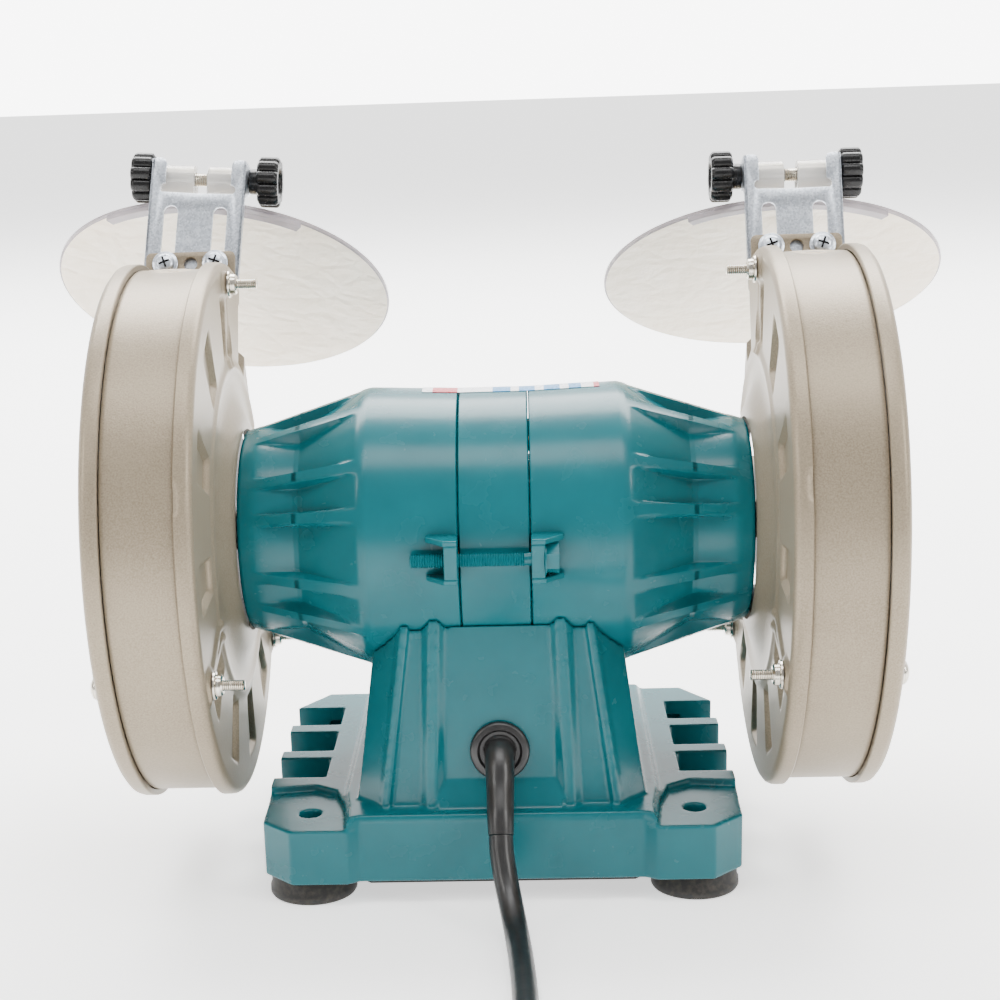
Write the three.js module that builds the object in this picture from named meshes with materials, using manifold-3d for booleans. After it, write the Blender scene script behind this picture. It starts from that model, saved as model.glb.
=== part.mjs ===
// Double-ended 200 mm bench grinder: teal motor on a cast pedestal, two guarded wheels,
// two tilting eye shields, two tool rests and a mains cord. Millimetres, +Z up.
// Everything is drawn about the middle of the shaft: +X along the shaft, +Y to the rear,
// where the cord leaves, and -Y to the front, where the work is held to the wheels.
// The whole group is then set down with its feet on Z = 0 and its box centred on X and Y.
import * as THREE from "three";
import { mergeVertices } from "three/addons/utils/BufferGeometryUtils.js";
import Module from "manifold-3d";

const wasm = await Module();
wasm.setup();

// ---------------------------------------------------------------- driving dimensions
const GAP = 0.3; // clearance between touching pieces
const AXIS_HEIGHT = 147.8; // shaft axis above the floor

const BELL_START_RADIUS = 58.8; // motor housing at the stator seam
const BELL_SHOULDER_RADIUS = 60.3; // where the ribbed cone starts
const BELL_END_RADIUS = 42.8;
const BELL_SHOULDER = 53; // distance of the shoulder from the middle
const BELL_END = 107;
const GUARD_FACE = BELL_END + 5.8; // motor side of the inner casting
const STATOR_HALF = 14.5;
const BELL_WALL = 5;
const RIB_REPEATS = 7; // pairs of ribs round each cone
const RIB_PAIR_ANGLE = 20;
const RIB_WIDTH_ANGLE = 5.5;
const RIB_PAIR_CENTRE = 27.3;
const POCKET_RADIUS = 45;
const POCKET_DEEPEST = 82;

const SHAFT_RADIUS = 9;
const JOURNAL_RADIUS = 8.5;
const ARBOR_RADIUS = 8;
const SHAFT_HALF = GUARD_FACE + 40.7;
const BEARING_RADIUS = 20;
const BEARING_WIDTH = 12;
const ROTOR_RADIUS = 30;
const ROTOR_HALF = 17;
const AIR_GAP = 0.6;
const SLOTS = 8;
const SLOT_CIRCLE = 42;
const SLOT_RADIUS = 4.4;

const WHEEL_RADIUS = 100;
const WHEEL_WIDTH = 20;
const WHEEL_CENTRE = GUARD_FACE + 20.2;
const FLANGE_RADIUS = 34;
const FLANGE_THICK = 4;
const NUT_ACROSS = 24;
const NUT_THICK = 7;

const GUARD_RADIUS = 115;
const GUARD_WALL = 2.4;
const GUARD_LIP_END = GUARD_FACE + 7.2;
const COVER_LIP = GUARD_FACE + 36.2;
const COVER_FACE = GUARD_FACE + 45.2;
const COVER_WALL = 2.2;
const BAND_RADIUS = 112.3;
const BAND_THICK = 2;
const OPENING_TOP = 115; // degrees from the rear horizontal, over the top
const OPENING_BOTTOM = -145;
const COVER_SCREW_CIRCLE = 105.6;
const COVER_SCREW_RADIUS = 2.2;
const COVER_SCREW_ANGLES = [92.7, -22.5, -137.7];

const TAB_WIDTH = 40;
const TAB_TOP = 127; // outer radius of the tab
const TAB_THICK = 2;
const TAB_HOLE_PITCH = 11.2;
const TAB_HOLE_RADIUS = 3;
const TAB_HOLE_DROP = 5.6; // holes below the top of the tab

const PLATE_WIDTH = 43;
const PLATE_THICK = 1.5;
const PLATE_LENGTH = 46.5;
const PLATE_RISE = 27.6; // top edge of the plate above the tab's holes
const EAR_WIDTH = 5;
const SLOT_WIDTH = 6.2;
const SLOT_LENGTH = 34.6;
const SLOT_DROP = 6;
const PIVOT_RISE = 38.2;
const PIVOT_FORWARD = 10;
const EAR_RADIUS = 6.8;
const PIVOT_RADIUS = 3;
const SLIDE_UP = { right: 6.4, left: 0 }; // how far each bracket stands up its slots
const SKEW = { right: -4, left: 0 }; // degrees, a bracket clamped a little crooked

const KNOB_RADIUS = 11.3;
const KNOB_THICK = 9.6;
const KNOB_LOBES = 10;
const KNOB_HUB = 4.2;
const KNOB_HUB_RADIUS = 5.4;

const SHIELD_RADIUS = 81;
const SHIELD_THICK = 2.2;
const SHIELD_TILT = { right: 34.9, left: 30.3 }; // degrees above the horizontal at rest
const SHIELD_DROP = 12.8; // pivot axis above the middle of the sheet
const SHIELD_BEHIND = 2.5; // sheet edge behind the pivot axis
const KNUCKLE_RADIUS = 6.25;
const KNUCKLE_WIDTH = 15;
const KNUCKLE_SPACE = 6;
const RIM_HALF_ANGLE = 34;
const RIM_RISE = 2.4;
const RIM_WIDTH = 5;

const REST_GAP = 2.5; // table to wheel
const REST_DEPTH = 44;
const REST_THICK = 5;
const REST_TOP = -1;
const REST_ARM = 4;
const REST_BOLT_Y = -58;
const REST_BOLT_Z = -50;
const REST_SLOT = 10;

const BASE_BOTTOM = -137.2;
const BASE_REAR = 73;
const BASE_FRONT = -105;
const BASE_HALF = GUARD_FACE - 10.8;
const PAD_TOP = -113;
const WING_TOP = -110;
const PLATEAU_TOP = -107.5;
const POCKET_INNER = BASE_HALF - 23.5;
const POCKET_FLOOR = -129;
const POCKET_SPANS = [[-10, 15], [-47, -20], [-83, -57]];
const NECK_TOP_HALF = 50.5;
const NECK_BOTTOM_HALF = 61.2;
const NECK_TOP_REAR = 50;
const NECK_BOTTOM_REAR = 60;
const NECK_TOP_FRONT = -50;
const NECK_BOTTOM_FRONT = -60;
const NECK_TOP = -28;
const NECK_BOTTOM = -108.5;
const NECK_CHAMFER = 10;
const BASE_WALL = 6;
const FOOT_X = BASE_HALF - 20.2;
const FOOT_REAR = 51.5;
const FOOT_FRONT = -83.5;
const FOOT_RADIUS = 18.7;
const HOLE_RADIUS = 4.7;

const CORD_RADIUS = 5;
const GLAND_Z = -84;
const GLAND_FLANGE = 12.4;
const GLAND_STEM = 7.6;
const COIL_RADIUS = 51;
const COIL_CENTRE_X = -68;
const COIL_CENTRE_Y = 277;
const COIL_HALF_WIDTH = 16.6;
const COIL_HEIGHT = 20.5;
const CORD_LEAVES = 62.5; // radius at which the last turn leaves the coil for the plug
const PLUG_RADIUS = 18.5;

// ---------------------------------------------------------------- materials
const finish = (color, roughness, metalness) => ({ color, roughness, metalness });
const TEAL = finish(0x2f8f98, 0.3, 0.0);
const GUARD_GREY = finish(0xa59c8c, 0.45, 0.4);
const ZINC = finish(0xb9bfc6, 0.35, 0.9);
const STEEL = finish(0x9a9c9e, 0.3, 1.0);
const BLACK = finish(0x1a1a1b, 0.35, 0.0);
const RUBBER = finish(0x2a2522, 0.8, 0.0);
const CLEAR = finish(0xf3ede2, 0.15, 0.0);
const GRIT = finish(0x8d8f92, 0.95, 0.0);
const COPPER = finish(0xb0632c, 0.4, 1.0);
const LAMINATION = finish(0x55585c, 0.5, 0.9);
const CAP_GREY = finish(0xb8bbb8, 0.5, 0.1);

// ---------------------------------------------------------------- small tools
const rad = THREE.MathUtils.degToRad;
const point = (x, y) => new THREE.Vector2(x, y);
const polar = (radius, angle) => point(radius * Math.cos(rad(angle)), radius * Math.sin(rad(angle)));
const FINE = 36;
const ROUND = 20;
const SMALL = 10;

function bare(geometry) {
  const copy = geometry.clone();
  for (const name of ["normal", "uv", "uv1"]) copy.deleteAttribute(name);
  return outward(mergeVertices(copy, 1e-4));
}

function signedVolume(geometry) {
  const corner = [new THREE.Vector3(), new THREE.Vector3(), new THREE.Vector3()];
  let sum = 0;
  for (let i = 0; i < geometry.index.count; i += 3) {
    corner.forEach((v, k) => v.fromBufferAttribute(geometry.attributes.position, geometry.index.getX(i + k)));
    sum += corner[0].dot(corner[1].cross(corner[2]));
  }
  return sum;
}

function outward(geometry) {
  if (signedVolume(geometry) > 0) return geometry;
  const list = Array.from(geometry.index.array);
  for (let i = 0; i < list.length; i += 3) [list[i], list[i + 1]] = [list[i + 1], list[i]];
  geometry.setIndex(list);
  return geometry;
}

function solid(geometry) {
  const shell = bare(geometry);
  const vertProperties = Float32Array.from(shell.attributes.position.array);
  const triVerts = Uint32Array.from(shell.index.array);
  return new wasm.Manifold(new wasm.Mesh({ numProp: 3, vertProperties, triVerts }));
}

function surface(body) {
  const mesh = body.getMesh();
  const geometry = new THREE.BufferGeometry();
  geometry.setAttribute("position", new THREE.BufferAttribute(Float32Array.from(mesh.vertProperties), 3));
  geometry.setIndex(Array.from(mesh.triVerts));
  return geometry;
}

const join = (...pieces) => surface(pieces.map(solid).reduce((sum, piece) => sum.add(piece)));
const cut = (from, ...tools) =>
  surface(tools.map(solid).reduce((rest, tool) => rest.subtract(tool), solid(from)));

// A turned piece about the X axis; the profile's points are [radius, distance along X].
function turned(profile, side = 1, segments = FINE) {
  const points = profile.map(([radius, x]) => point(radius, side * x));
  return bare(new THREE.LatheGeometry(points, segments).rotateZ(-Math.PI / 2));
}

const closed = (profile) => [...profile, profile[0]];

function shapeOf(points, holes = []) {
  const shape = new THREE.Shape(points);
  for (const hole of holes) shape.holes.push(new THREE.Path(hole));
  return shape;
}

const extrude = (shape, depth, more = {}) =>
  new THREE.ExtrudeGeometry(shape, { depth, bevelEnabled: false, curveSegments: ROUND, ...more });
const basis = (a, b, c) => new THREE.Matrix4().makeBasis(new THREE.Vector3(...a), new THREE.Vector3(...b),
  new THREE.Vector3(...c));
const AXIS_X = basis([0, 1, 0], [0, 0, 1], [1, 0, 0]);
const AXIS_Y = basis([1, 0, 0], [0, 0, 1], [0, -1, 0]);

// Prisms: an outline in (y, z), (x, z) or (x, y), drawn out along the remaining axis.
function prismX(shape, from, to) {
  const [low, high] = [Math.min(from, to), Math.max(from, to)];
  return bare(extrude(shape, high - low).applyMatrix4(AXIS_X).translate(low, 0, 0));
}

function prismY(shape, from, to) {
  const [low, high] = [Math.min(from, to), Math.max(from, to)];
  return bare(extrude(shape, high - low).applyMatrix4(AXIS_Y).translate(0, high, 0));
}

const prismZ = (shape, from, to) => bare(extrude(shape, to - from).translate(0, 0, from));

function block(x, y, z) {
  const size = [x, y, z].map(([low, high]) => Math.abs(high - low));
  const middle = [x, y, z].map(([low, high]) => (low + high) / 2);
  return new THREE.BoxGeometry(...size).translate(...middle);
}

function rodX(radius, from, to, y = 0, z = 0, segments = SMALL) {
  const [low, high] = [Math.min(from, to), Math.max(from, to)];
  const rod = new THREE.CylinderGeometry(radius, radius, high - low, segments);
  return rod.rotateZ(-Math.PI / 2).translate((low + high) / 2, y, z);
}

function rodY(radius, from, to, x = 0, z = 0, segments = SMALL) {
  const rod = new THREE.CylinderGeometry(radius, radius, to - from, segments);
  return rod.translate(x, (from + to) / 2, z);
}

function rodZ(radius, from, to, x = 0, y = 0, segments = SMALL) {
  const rod = new THREE.CylinderGeometry(radius, radius, to - from, segments);
  return rod.rotateX(Math.PI / 2).translate(x, y, (from + to) / 2);
}

const ringPoints = (radius, count, [x, y] = [0, 0]) =>
  Array.from({ length: count }, (_, i) => polar(radius, (360 * i) / count).add(point(x, y)));

const mirrored = (half) => [...half, ...half.map((p) => point(-p.x, p.y)).reverse()];

const arcPoints = (radius, from, to, count) =>
  Array.from({ length: count + 1 }, (_, i) => polar(radius, from + ((to - from) * i) / count));

// A closed body through outlines that have the same number of points, stacked along Z.
function loft(outlines) {
  const clockwise = THREE.ShapeUtils.isClockWise(outlines[0].points);
  const sections = outlines.map(({ points, z }) =>
    ({ z, points: clockwise ? [...points].reverse() : points }));
  const count = sections[0].points.length;
  const positions = sections.flatMap(({ points, z }) => points.flatMap((p) => [p.x, p.y, z]));
  const cap = THREE.ShapeUtils.triangulateShape(sections[0].points, []);
  const last = (sections.length - 1) * count;
  const index = [];
  for (const [a, b, c] of cap) index.push(a, c, b, last + a, last + b, last + c);
  for (let level = 0; level < sections.length - 1; level += 1) {
    for (let i = 0; i < count; i += 1) {
      const a = level * count + i;
      const b = level * count + ((i + 1) % count);
      index.push(a, b, b + count, a, b + count, a + count);
    }
  }
  return closedMesh(positions, index);
}

function closedMesh(positions, index) {
  const geometry = new THREE.BufferGeometry();
  geometry.setAttribute("position", new THREE.Float32BufferAttribute(positions, 3));
  geometry.setIndex(index);
  return outward(geometry);
}

// A ring about the X axis whose closed profile may change with the angle.
function ringLoft(angles, profileAt, side) {
  const rings = angles.map((angle) => ({ angle, profile: profileAt(angle) }));
  const count = rings[0].profile.length;
  const positions = rings.flatMap(({ angle, profile }) => profile.flatMap(([radius, x]) =>
    [side * x, radius * Math.cos(rad(angle)), radius * Math.sin(rad(angle))]));
  const index = [];
  for (let i = 0; i < rings.length; i += 1) {
    const next = (i + 1) % rings.length;
    for (let k = 0; k < count; k += 1) {
      const a = i * count + k;
      const b = i * count + ((k + 1) % count);
      const c = next * count + ((k + 1) % count);
      const d = next * count + k;
      index.push(a, b, c, a, c, d);
    }
  }
  return closedMesh(positions, index);
}

// A round rod along a curve, with its own radius at each step.
function sweep(curve, radii, sides = SMALL) {
  const steps = radii.length - 1;
  const frames = curve.computeFrenetFrames(steps, false);
  const positions = [];
  for (let i = 0; i <= steps; i += 1) {
    const centre = curve.getPointAt(i / steps);
    for (let k = 0; k < sides; k += 1) {
      const turn = (2 * Math.PI * k) / sides;
      const spot = centre.clone()
        .addScaledVector(frames.normals[i], radii[i] * Math.cos(turn))
        .addScaledVector(frames.binormals[i], radii[i] * Math.sin(turn));
      positions.push(spot.x, spot.y, spot.z);
    }
  }
  const index = [];
  for (let i = 0; i < steps; i += 1) {
    for (let k = 0; k < sides; k += 1) {
      const a = i * sides + k;
      const b = i * sides + ((k + 1) % sides);
      index.push(a, b, b + sides, a, b + sides, a + sides);
    }
  }
  for (let k = 1; k < sides - 1; k += 1) {
    index.push(0, k + 1, k, steps * sides, steps * sides + k, steps * sides + k + 1);
  }
  return closedMesh(positions, index);
}

const SIDES = [["right", 1], ["left", -1]];
const grinder = new THREE.Group();
const cordPieces = new THREE.Group();

function add(parent, name, geometry, look) {
  const mesh = new THREE.Mesh(geometry, new THREE.MeshStandardMaterial(look));
  mesh.name = name;
  parent.add(mesh);
  return mesh;
}

// ---------------------------------------------------------------- motor
const coneRadius = (x) => THREE.MathUtils.mapLinear(x, BELL_SHOULDER, BELL_END, BELL_SHOULDER_RADIUS,
  BELL_END_RADIUS);

function bellProfile(depth, clearance = 0) {
  const floorRadius = THREE.MathUtils.lerp(coneRadius(POCKET_DEEPEST), POCKET_RADIUS, depth);
  const fade = BELL_SHOULDER + ((BELL_END - BELL_SHOULDER) * (BELL_SHOULDER_RADIUS - POCKET_RADIUS)) /
    (BELL_SHOULDER_RADIUS - BELL_END_RADIUS);
  return [
    [BELL_START_RADIUS + clearance, STATOR_HALF + GAP],
    [BELL_SHOULDER_RADIUS + clearance, BELL_SHOULDER],
    [coneRadius(BELL_SHOULDER + 3) + clearance, BELL_SHOULDER + 3],
    [floorRadius + clearance, POCKET_DEEPEST],
    [coneRadius(fade) + clearance, fade],
    [BELL_END_RADIUS + clearance, BELL_END],
  ];
}

const BEARING_OUT = BELL_END - 2.4;
const BEARING_IN = BEARING_OUT - BEARING_WIDTH;

// The room inside a bell, down to the bearing's seat.
function bellRoom() {
  const wide = BELL_START_RADIUS - BELL_WALL;
  return [
    [0, BEARING_OUT + GAP],
    [BEARING_RADIUS + GAP, BEARING_OUT + GAP],
    [BEARING_RADIUS + GAP, BEARING_IN],
    [BEARING_RADIUS + 7, BEARING_IN],
    [POCKET_RADIUS - BELL_WALL, POCKET_DEEPEST - 3],
    [wide, BELL_SHOULDER],
    [wide, STATOR_HALF - 1],
    [0, STATOR_HALF - 1],
  ];
}

function ribAngles() {
  const edge = 0.9;
  const repeat = 360 / RIB_REPEATS;
  const half = RIB_PAIR_ANGLE / 2;
  const width = RIB_WIDTH_ANGLE / 2;
  const steps = [];
  for (const centre of [-half, half]) {
    steps.push([centre - width - edge, 1], [centre - width, 0]);
    steps.push([centre + width, 0], [centre + width + edge, 1]);
  }
  const wideStart = half + width + edge;
  const wideEnd = repeat - half - width - edge;
  steps.push([(wideStart + wideEnd) / 2, 1]);
  return Array.from({ length: RIB_REPEATS }, (_, i) =>
    steps.map(([angle, depth]) => [RIB_PAIR_CENTRE + i * repeat + angle, depth])).flat();
}

const LUG_Y = 65;
const LUG_HALF = 9.2;
const LUG_PLATE = 5.6;
const LUG_WING = 7.6;
const LUG_WING_THICK = 2.4;
const BOLT_RADIUS = 3;

function lug(side, rear) {
  const start = STATOR_HALF + GAP;
  const inner = BELL_START_RADIUS - BELL_WALL / 2;
  const top = LUG_Y + 5.5;
  const plate = block([side * start, side * (start + LUG_PLATE)], [rear * inner, rear * top],
    [-LUG_HALF, LUG_HALF]);
  const wingOutline = shapeOf([
    point(side * (start + 1), rear * inner),
    point(side * (start + LUG_PLATE + LUG_WING), rear * inner),
    point(side * (start + LUG_PLATE + LUG_WING), rear * (BELL_START_RADIUS + 3)),
    point(side * (start + LUG_PLATE), rear * top),
    point(side * (start + 1), rear * top),
  ]);
  const wings = [-1, 1].map((up) => {
    const from = up > 0 ? LUG_HALF - LUG_WING_THICK : -LUG_HALF;
    return prismZ(wingOutline, from, from + LUG_WING_THICK);
  });
  return [plate, ...wings];
}

function endBell(side) {
  const depths = new Map(ribAngles());
  const bore = JOURNAL_RADIUS + 3;
  const ends = [[bore, BELL_END], [bore, STATOR_HALF + GAP]];
  const shell = ringLoft([...depths.keys()], (angle) => [...bellProfile(depths.get(angle)), ...ends], side);
  const room = turned(bellRoom(), side, ROUND);
  const body = join(shell, ...lug(side, 1), ...lug(side, -1));
  const reach = STATOR_HALF + LUG_PLATE + LUG_WING + 4;
  const holes = [1, -1].map((rear) => rodX(BOLT_RADIUS + GAP, side * 5, side * reach, rear * LUG_Y));
  return cut(body, room, ...holes);
}

function statorCore() {
  const bore = ROTOR_RADIUS + AIR_GAP;
  const ring = turned(closed([[BELL_START_RADIUS, -STATOR_HALF], [BELL_START_RADIUS, STATOR_HALF],
    [bore, STATOR_HALF], [bore, -STATOR_HALF]]));
  const slots = ringPoints(SLOT_CIRCLE, SLOTS).map((p) =>
    rodX(SLOT_RADIUS, -STATOR_HALF - 2, STATOR_HALF + 2, p.x, p.y, 6));
  return cut(ring, ...slots);
}

function statorWinding() {
  const start = STATOR_HALF + 1.2;
  const coil = (side) => turned(closed([[SLOT_CIRCLE - 8, start], [SLOT_CIRCLE - 8, start + 12],
    [SLOT_CIRCLE - 3, start + 17], [SLOT_CIRCLE + 5, start + 17], [SLOT_CIRCLE + 9, start + 12],
    [SLOT_CIRCLE + 9, start]]), side, ROUND);
  const bars = ringPoints(SLOT_CIRCLE, SLOTS).map((p) =>
    rodX(SLOT_RADIUS - 2 * GAP, -start - 2, start + 2, p.x, p.y, 6));
  return join(coil(1), coil(-1), ...bars);
}

function rotorCore() {
  return turned(closed([[SHAFT_RADIUS + GAP, -ROTOR_HALF], [ROTOR_RADIUS, -ROTOR_HALF],
    [ROTOR_RADIUS, ROTOR_HALF], [SHAFT_RADIUS + GAP, ROTOR_HALF]]), 1, 32);
}

function shaft() {
  const journal = BEARING_IN - 4;
  const arbor = GUARD_FACE + 3;
  const half = [[SHAFT_RADIUS, journal], [JOURNAL_RADIUS, journal], [JOURNAL_RADIUS, arbor],
    [ARBOR_RADIUS, arbor], [ARBOR_RADIUS, SHAFT_HALF - 1], [ARBOR_RADIUS - 1, SHAFT_HALF]];
  const other = half.map(([radius, x]) => [radius, -x]).reverse();
  return turned([[0, -SHAFT_HALF], ...other, ...half, [0, SHAFT_HALF]], 1, 16);
}

function bearing(side) {
  return turned(closed([[JOURNAL_RADIUS + GAP, BEARING_IN + GAP], [BEARING_RADIUS, BEARING_IN + GAP],
    [BEARING_RADIUS, BEARING_OUT], [JOURNAL_RADIUS + GAP, BEARING_OUT]]), side, ROUND);
}

function throughBolt(rear) {
  const seat = STATOR_HALF + GAP + LUG_PLATE + GAP;
  const profile = [[0, -seat - 3.6], [3.6, -seat - 3.6], [4.8, -seat - 2.4], [4.8, -seat],
    [BOLT_RADIUS, -seat], [BOLT_RADIUS, seat], [5.4, seat], [5.4, seat + 4.6], [BOLT_RADIUS, seat + 4.6],
    [BOLT_RADIUS, seat + 11.4], [BOLT_RADIUS - 0.6, seat + 12], [0, seat + 12]];
  return turned(profile, 1, SMALL).translate(0, rear * LUG_Y, 0);
}

function addMotor() {
  for (const [name, side] of SIDES) {
    add(grinder, `end_bell_${name}`, endBell(side), TEAL);
    add(grinder, `bearing_${name}`, bearing(side), STEEL);
  }
  add(grinder, "stator_core", statorCore(), TEAL);
  add(grinder, "stator_winding", statorWinding(), COPPER);
  add(grinder, "rotor_core", rotorCore(), LAMINATION);
  add(grinder, "shaft", shaft(), STEEL);
  add(grinder, "through_bolt_rear", throughBolt(1), TEAL);
  add(grinder, "through_bolt_front", throughBolt(-1), TEAL);
}

// ---------------------------------------------------------------- wheels
const WHEEL_IN = WHEEL_CENTRE - WHEEL_WIDTH / 2;
const WHEEL_OUT = WHEEL_CENTRE + WHEEL_WIDTH / 2;

function wheelFlange(side, seat, away) {
  const hollow = seat + away * 1.2;
  const back = seat + away * FLANGE_THICK;
  const bore = ARBOR_RADIUS + GAP;
  return turned(closed([[bore, hollow], [FLANGE_RADIUS - 8, hollow], [FLANGE_RADIUS - 8, seat],
    [FLANGE_RADIUS, seat], [FLANGE_RADIUS, seat + away * 2], [FLANGE_RADIUS - 8, back],
    [bore, back]]), side, 24);
}

function wheelNut(side) {
  const start = WHEEL_OUT + GAP + FLANGE_THICK + GAP;
  const outline = shapeOf(ringPoints(NUT_ACROSS / Math.sqrt(3), 6), [ringPoints(ARBOR_RADIUS + GAP, ROUND)]);
  return prismX(outline, side * start, side * (start + NUT_THICK));
}

function addWheels() {
  for (const [name, side] of SIDES) {
    const wheel = closed([[ARBOR_RADIUS + GAP, WHEEL_IN], [WHEEL_RADIUS, WHEEL_IN],
      [WHEEL_RADIUS, WHEEL_OUT], [ARBOR_RADIUS + GAP, WHEEL_OUT]]);
    add(grinder, `wheel_${name}`, turned(wheel, side), GRIT);
    add(grinder, `inner_flange_${name}`, wheelFlange(side, WHEEL_IN - GAP, -1), STEEL);
    add(grinder, `outer_flange_${name}`, wheelFlange(side, WHEEL_OUT + GAP, 1), STEEL);
    add(grinder, `wheel_nut_${name}`, wheelNut(side), ZINC);
  }
}

// ---------------------------------------------------------------- guards
const MOUTH_DEPTH = -60; // the side plates end here in front
const MOUTH_HALF = 40;
const MOUTH_SEAT = 97; // radius where the top edge of the opening leaves its radial line

// The part of the side plates and the rim that the work opening takes away.
function mouth(from, to) {
  const top = polar(GUARD_RADIUS + 20, OPENING_TOP);
  const bottom = polar(GUARD_RADIUS, OPENING_BOTTOM);
  const far = -GUARD_RADIUS - 40;
  return prismX(shapeOf([top, polar(MOUTH_SEAT, OPENING_TOP), point(MOUTH_DEPTH, MOUTH_HALF),
    point(MOUTH_DEPTH, -MOUTH_HALF), bottom, point(far, bottom.y), point(far, top.y)]), from, to);
}

const screwSpots = () => COVER_SCREW_ANGLES.map((angle) => polar(COVER_SCREW_CIRCLE, angle));

function innerGuard(side) {
  const flare = BELL_END + GAP;
  const rim = GUARD_RADIUS - GUARD_WALL;
  const profile = closed([[SHAFT_RADIUS + 4, flare], [BELL_END_RADIUS + 2, flare], [48, GUARD_FACE - 2.4],
    [58, GUARD_FACE], [GUARD_RADIUS - 4, GUARD_FACE], [GUARD_RADIUS, GUARD_FACE + 2.8],
    [GUARD_RADIUS, GUARD_LIP_END], [rim, GUARD_LIP_END], [rim, GUARD_FACE + 3.4], [58, GUARD_FACE + 3.4],
    [46, flare + 3.4], [SHAFT_RADIUS + 4, flare + 3.4]]);
  const holes = screwSpots().map((p) =>
    rodX(COVER_SCREW_RADIUS + GAP, side * (GUARD_FACE - 5), side * (GUARD_LIP_END + 5), p.x, p.y, 8));
  const bolt = rodX(BOLT_RADIUS + GAP, side * (GUARD_FACE - 5), side * (GUARD_FACE + 8),
    REST_BOLT_Y, REST_BOLT_Z);
  const opening = mouth(side * (GUARD_FACE - 20), side * (GUARD_LIP_END + 5));
  return cut(turned(profile, side), opening, ...holes, bolt);
}

function outerCover(side) {
  const rim = BAND_RADIUS + GAP;
  const inside = COVER_FACE - COVER_WALL;
  const profile = [[0, inside], [rim, inside], [rim, COVER_LIP], [GUARD_RADIUS, COVER_LIP],
    [GUARD_RADIUS, COVER_FACE - 3], [GUARD_RADIUS - 3, COVER_FACE],
    [0, COVER_FACE]];
  const holes = screwSpots().map((p) =>
    rodX(COVER_SCREW_RADIUS + GAP, side * (COVER_LIP - 5), side * (COVER_FACE + 5), p.x, p.y, 8));
  return cut(turned(profile, side), mouth(side * (COVER_LIP - 5), side * (COVER_FACE + 5)), ...holes);
}

const BAND_IN = GUARD_LIP_END + GAP;
const BAND_OUT = COVER_LIP - GAP;
const BAND_CENTRE = (BAND_IN + BAND_OUT) / 2;
const CLAMP_RADIUS = TAB_TOP - TAB_HOLE_DROP;

// Moves a piece drawn in the tab's frame (z outwards along the radius, y to the rear) into place.
function ontoTab(geometry, side) {
  const centre = polar(CLAMP_RADIUS, OPENING_TOP);
  return geometry.rotateX(rad(OPENING_TOP - 90)).translate(side * BAND_CENTRE, centre.x, centre.y);
}

const tabHoles = () => [-1, 0, 1].map((step) =>
  ringPoints(TAB_HOLE_RADIUS, SMALL, [step * TAB_HOLE_PITCH, 0]));

function guardBand(side) {
  const end = OPENING_TOP - 0.2;
  const strip = prismX(shapeOf([...arcPoints(BAND_RADIUS, OPENING_BOTTOM + 0.4, end, 40),
    ...arcPoints(BAND_RADIUS - BAND_THICK, end, OPENING_BOTTOM + 0.4, 40)]), side * BAND_IN, side * BAND_OUT);
  const root = BAND_RADIUS - BAND_THICK - CLAMP_RADIUS;
  const shoulder = GUARD_RADIUS + 1.2 - CLAMP_RADIUS;
  const narrow = (BAND_OUT - BAND_IN) / 2;
  const half = TAB_WIDTH / 2;
  const outline = [point(-narrow, root), point(narrow, root), point(narrow, shoulder), point(half, shoulder),
    point(half, TAB_HOLE_DROP - 2.5), point(half - 2.5, TAB_HOLE_DROP), point(2.5 - half, TAB_HOLE_DROP),
    point(-half, TAB_HOLE_DROP - 2.5), point(-half, shoulder), point(-narrow, shoulder)];
  const tab = ontoTab(prismY(shapeOf(outline, tabHoles()), 0, TAB_THICK), side);
  return join(strip, tab);
}

function coverScrew(side, spot) {
  const seat = COVER_FACE + GAP;
  const nut = GUARD_FACE - GAP;
  const profile = [[0, nut - 13], [COVER_SCREW_RADIUS, nut - 13],
    [COVER_SCREW_RADIUS, nut - 4], [4.4, nut - 4], [4.4, nut], [COVER_SCREW_RADIUS, nut],
    [COVER_SCREW_RADIUS, seat], [4.7, seat], [4.2, seat + 1.8], [0, seat + 3.2]];
  return turned(profile, side, 8).translate(0, spot.x, spot.y);
}

function addGuards() {
  for (const [name, side] of SIDES) {
    add(grinder, `inner_guard_${name}`, innerGuard(side), GUARD_GREY);
    add(grinder, `guard_band_${name}`, guardBand(side), GUARD_GREY);
    add(grinder, `outer_cover_${name}`, outerCover(side), GUARD_GREY);
    screwSpots().forEach((spot, i) => {
      const place = ["top", "rear", "front"][i];
      add(grinder, `cover_screw_${place}_${name}`, coverScrew(side, spot), ZINC);
    });
  }
}

// ---------------------------------------------------------------- eye shields
// Drawn in the tab's frame: origin between the clamp screws, z up the plate, y to the rear.
const PLATE_FRONT = -GAP - PLATE_THICK;
const PIVOT_Y = PLATE_FRONT + PLATE_THICK / 2 - PIVOT_FORWARD;

function slotPath(x) {
  const top = PLATE_RISE - SLOT_DROP - SLOT_WIDTH / 2;
  const bottom = top - SLOT_LENGTH + SLOT_WIDTH;
  const r = SLOT_WIDTH / 2;
  const upper = arcPoints(r, 0, 180, 6).map((p) => point(p.x + x, p.y + top));
  const lower = arcPoints(r, 180, 360, 6).map((p) => point(p.x + x, p.y + bottom));
  return [...upper, ...lower];
}

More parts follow.
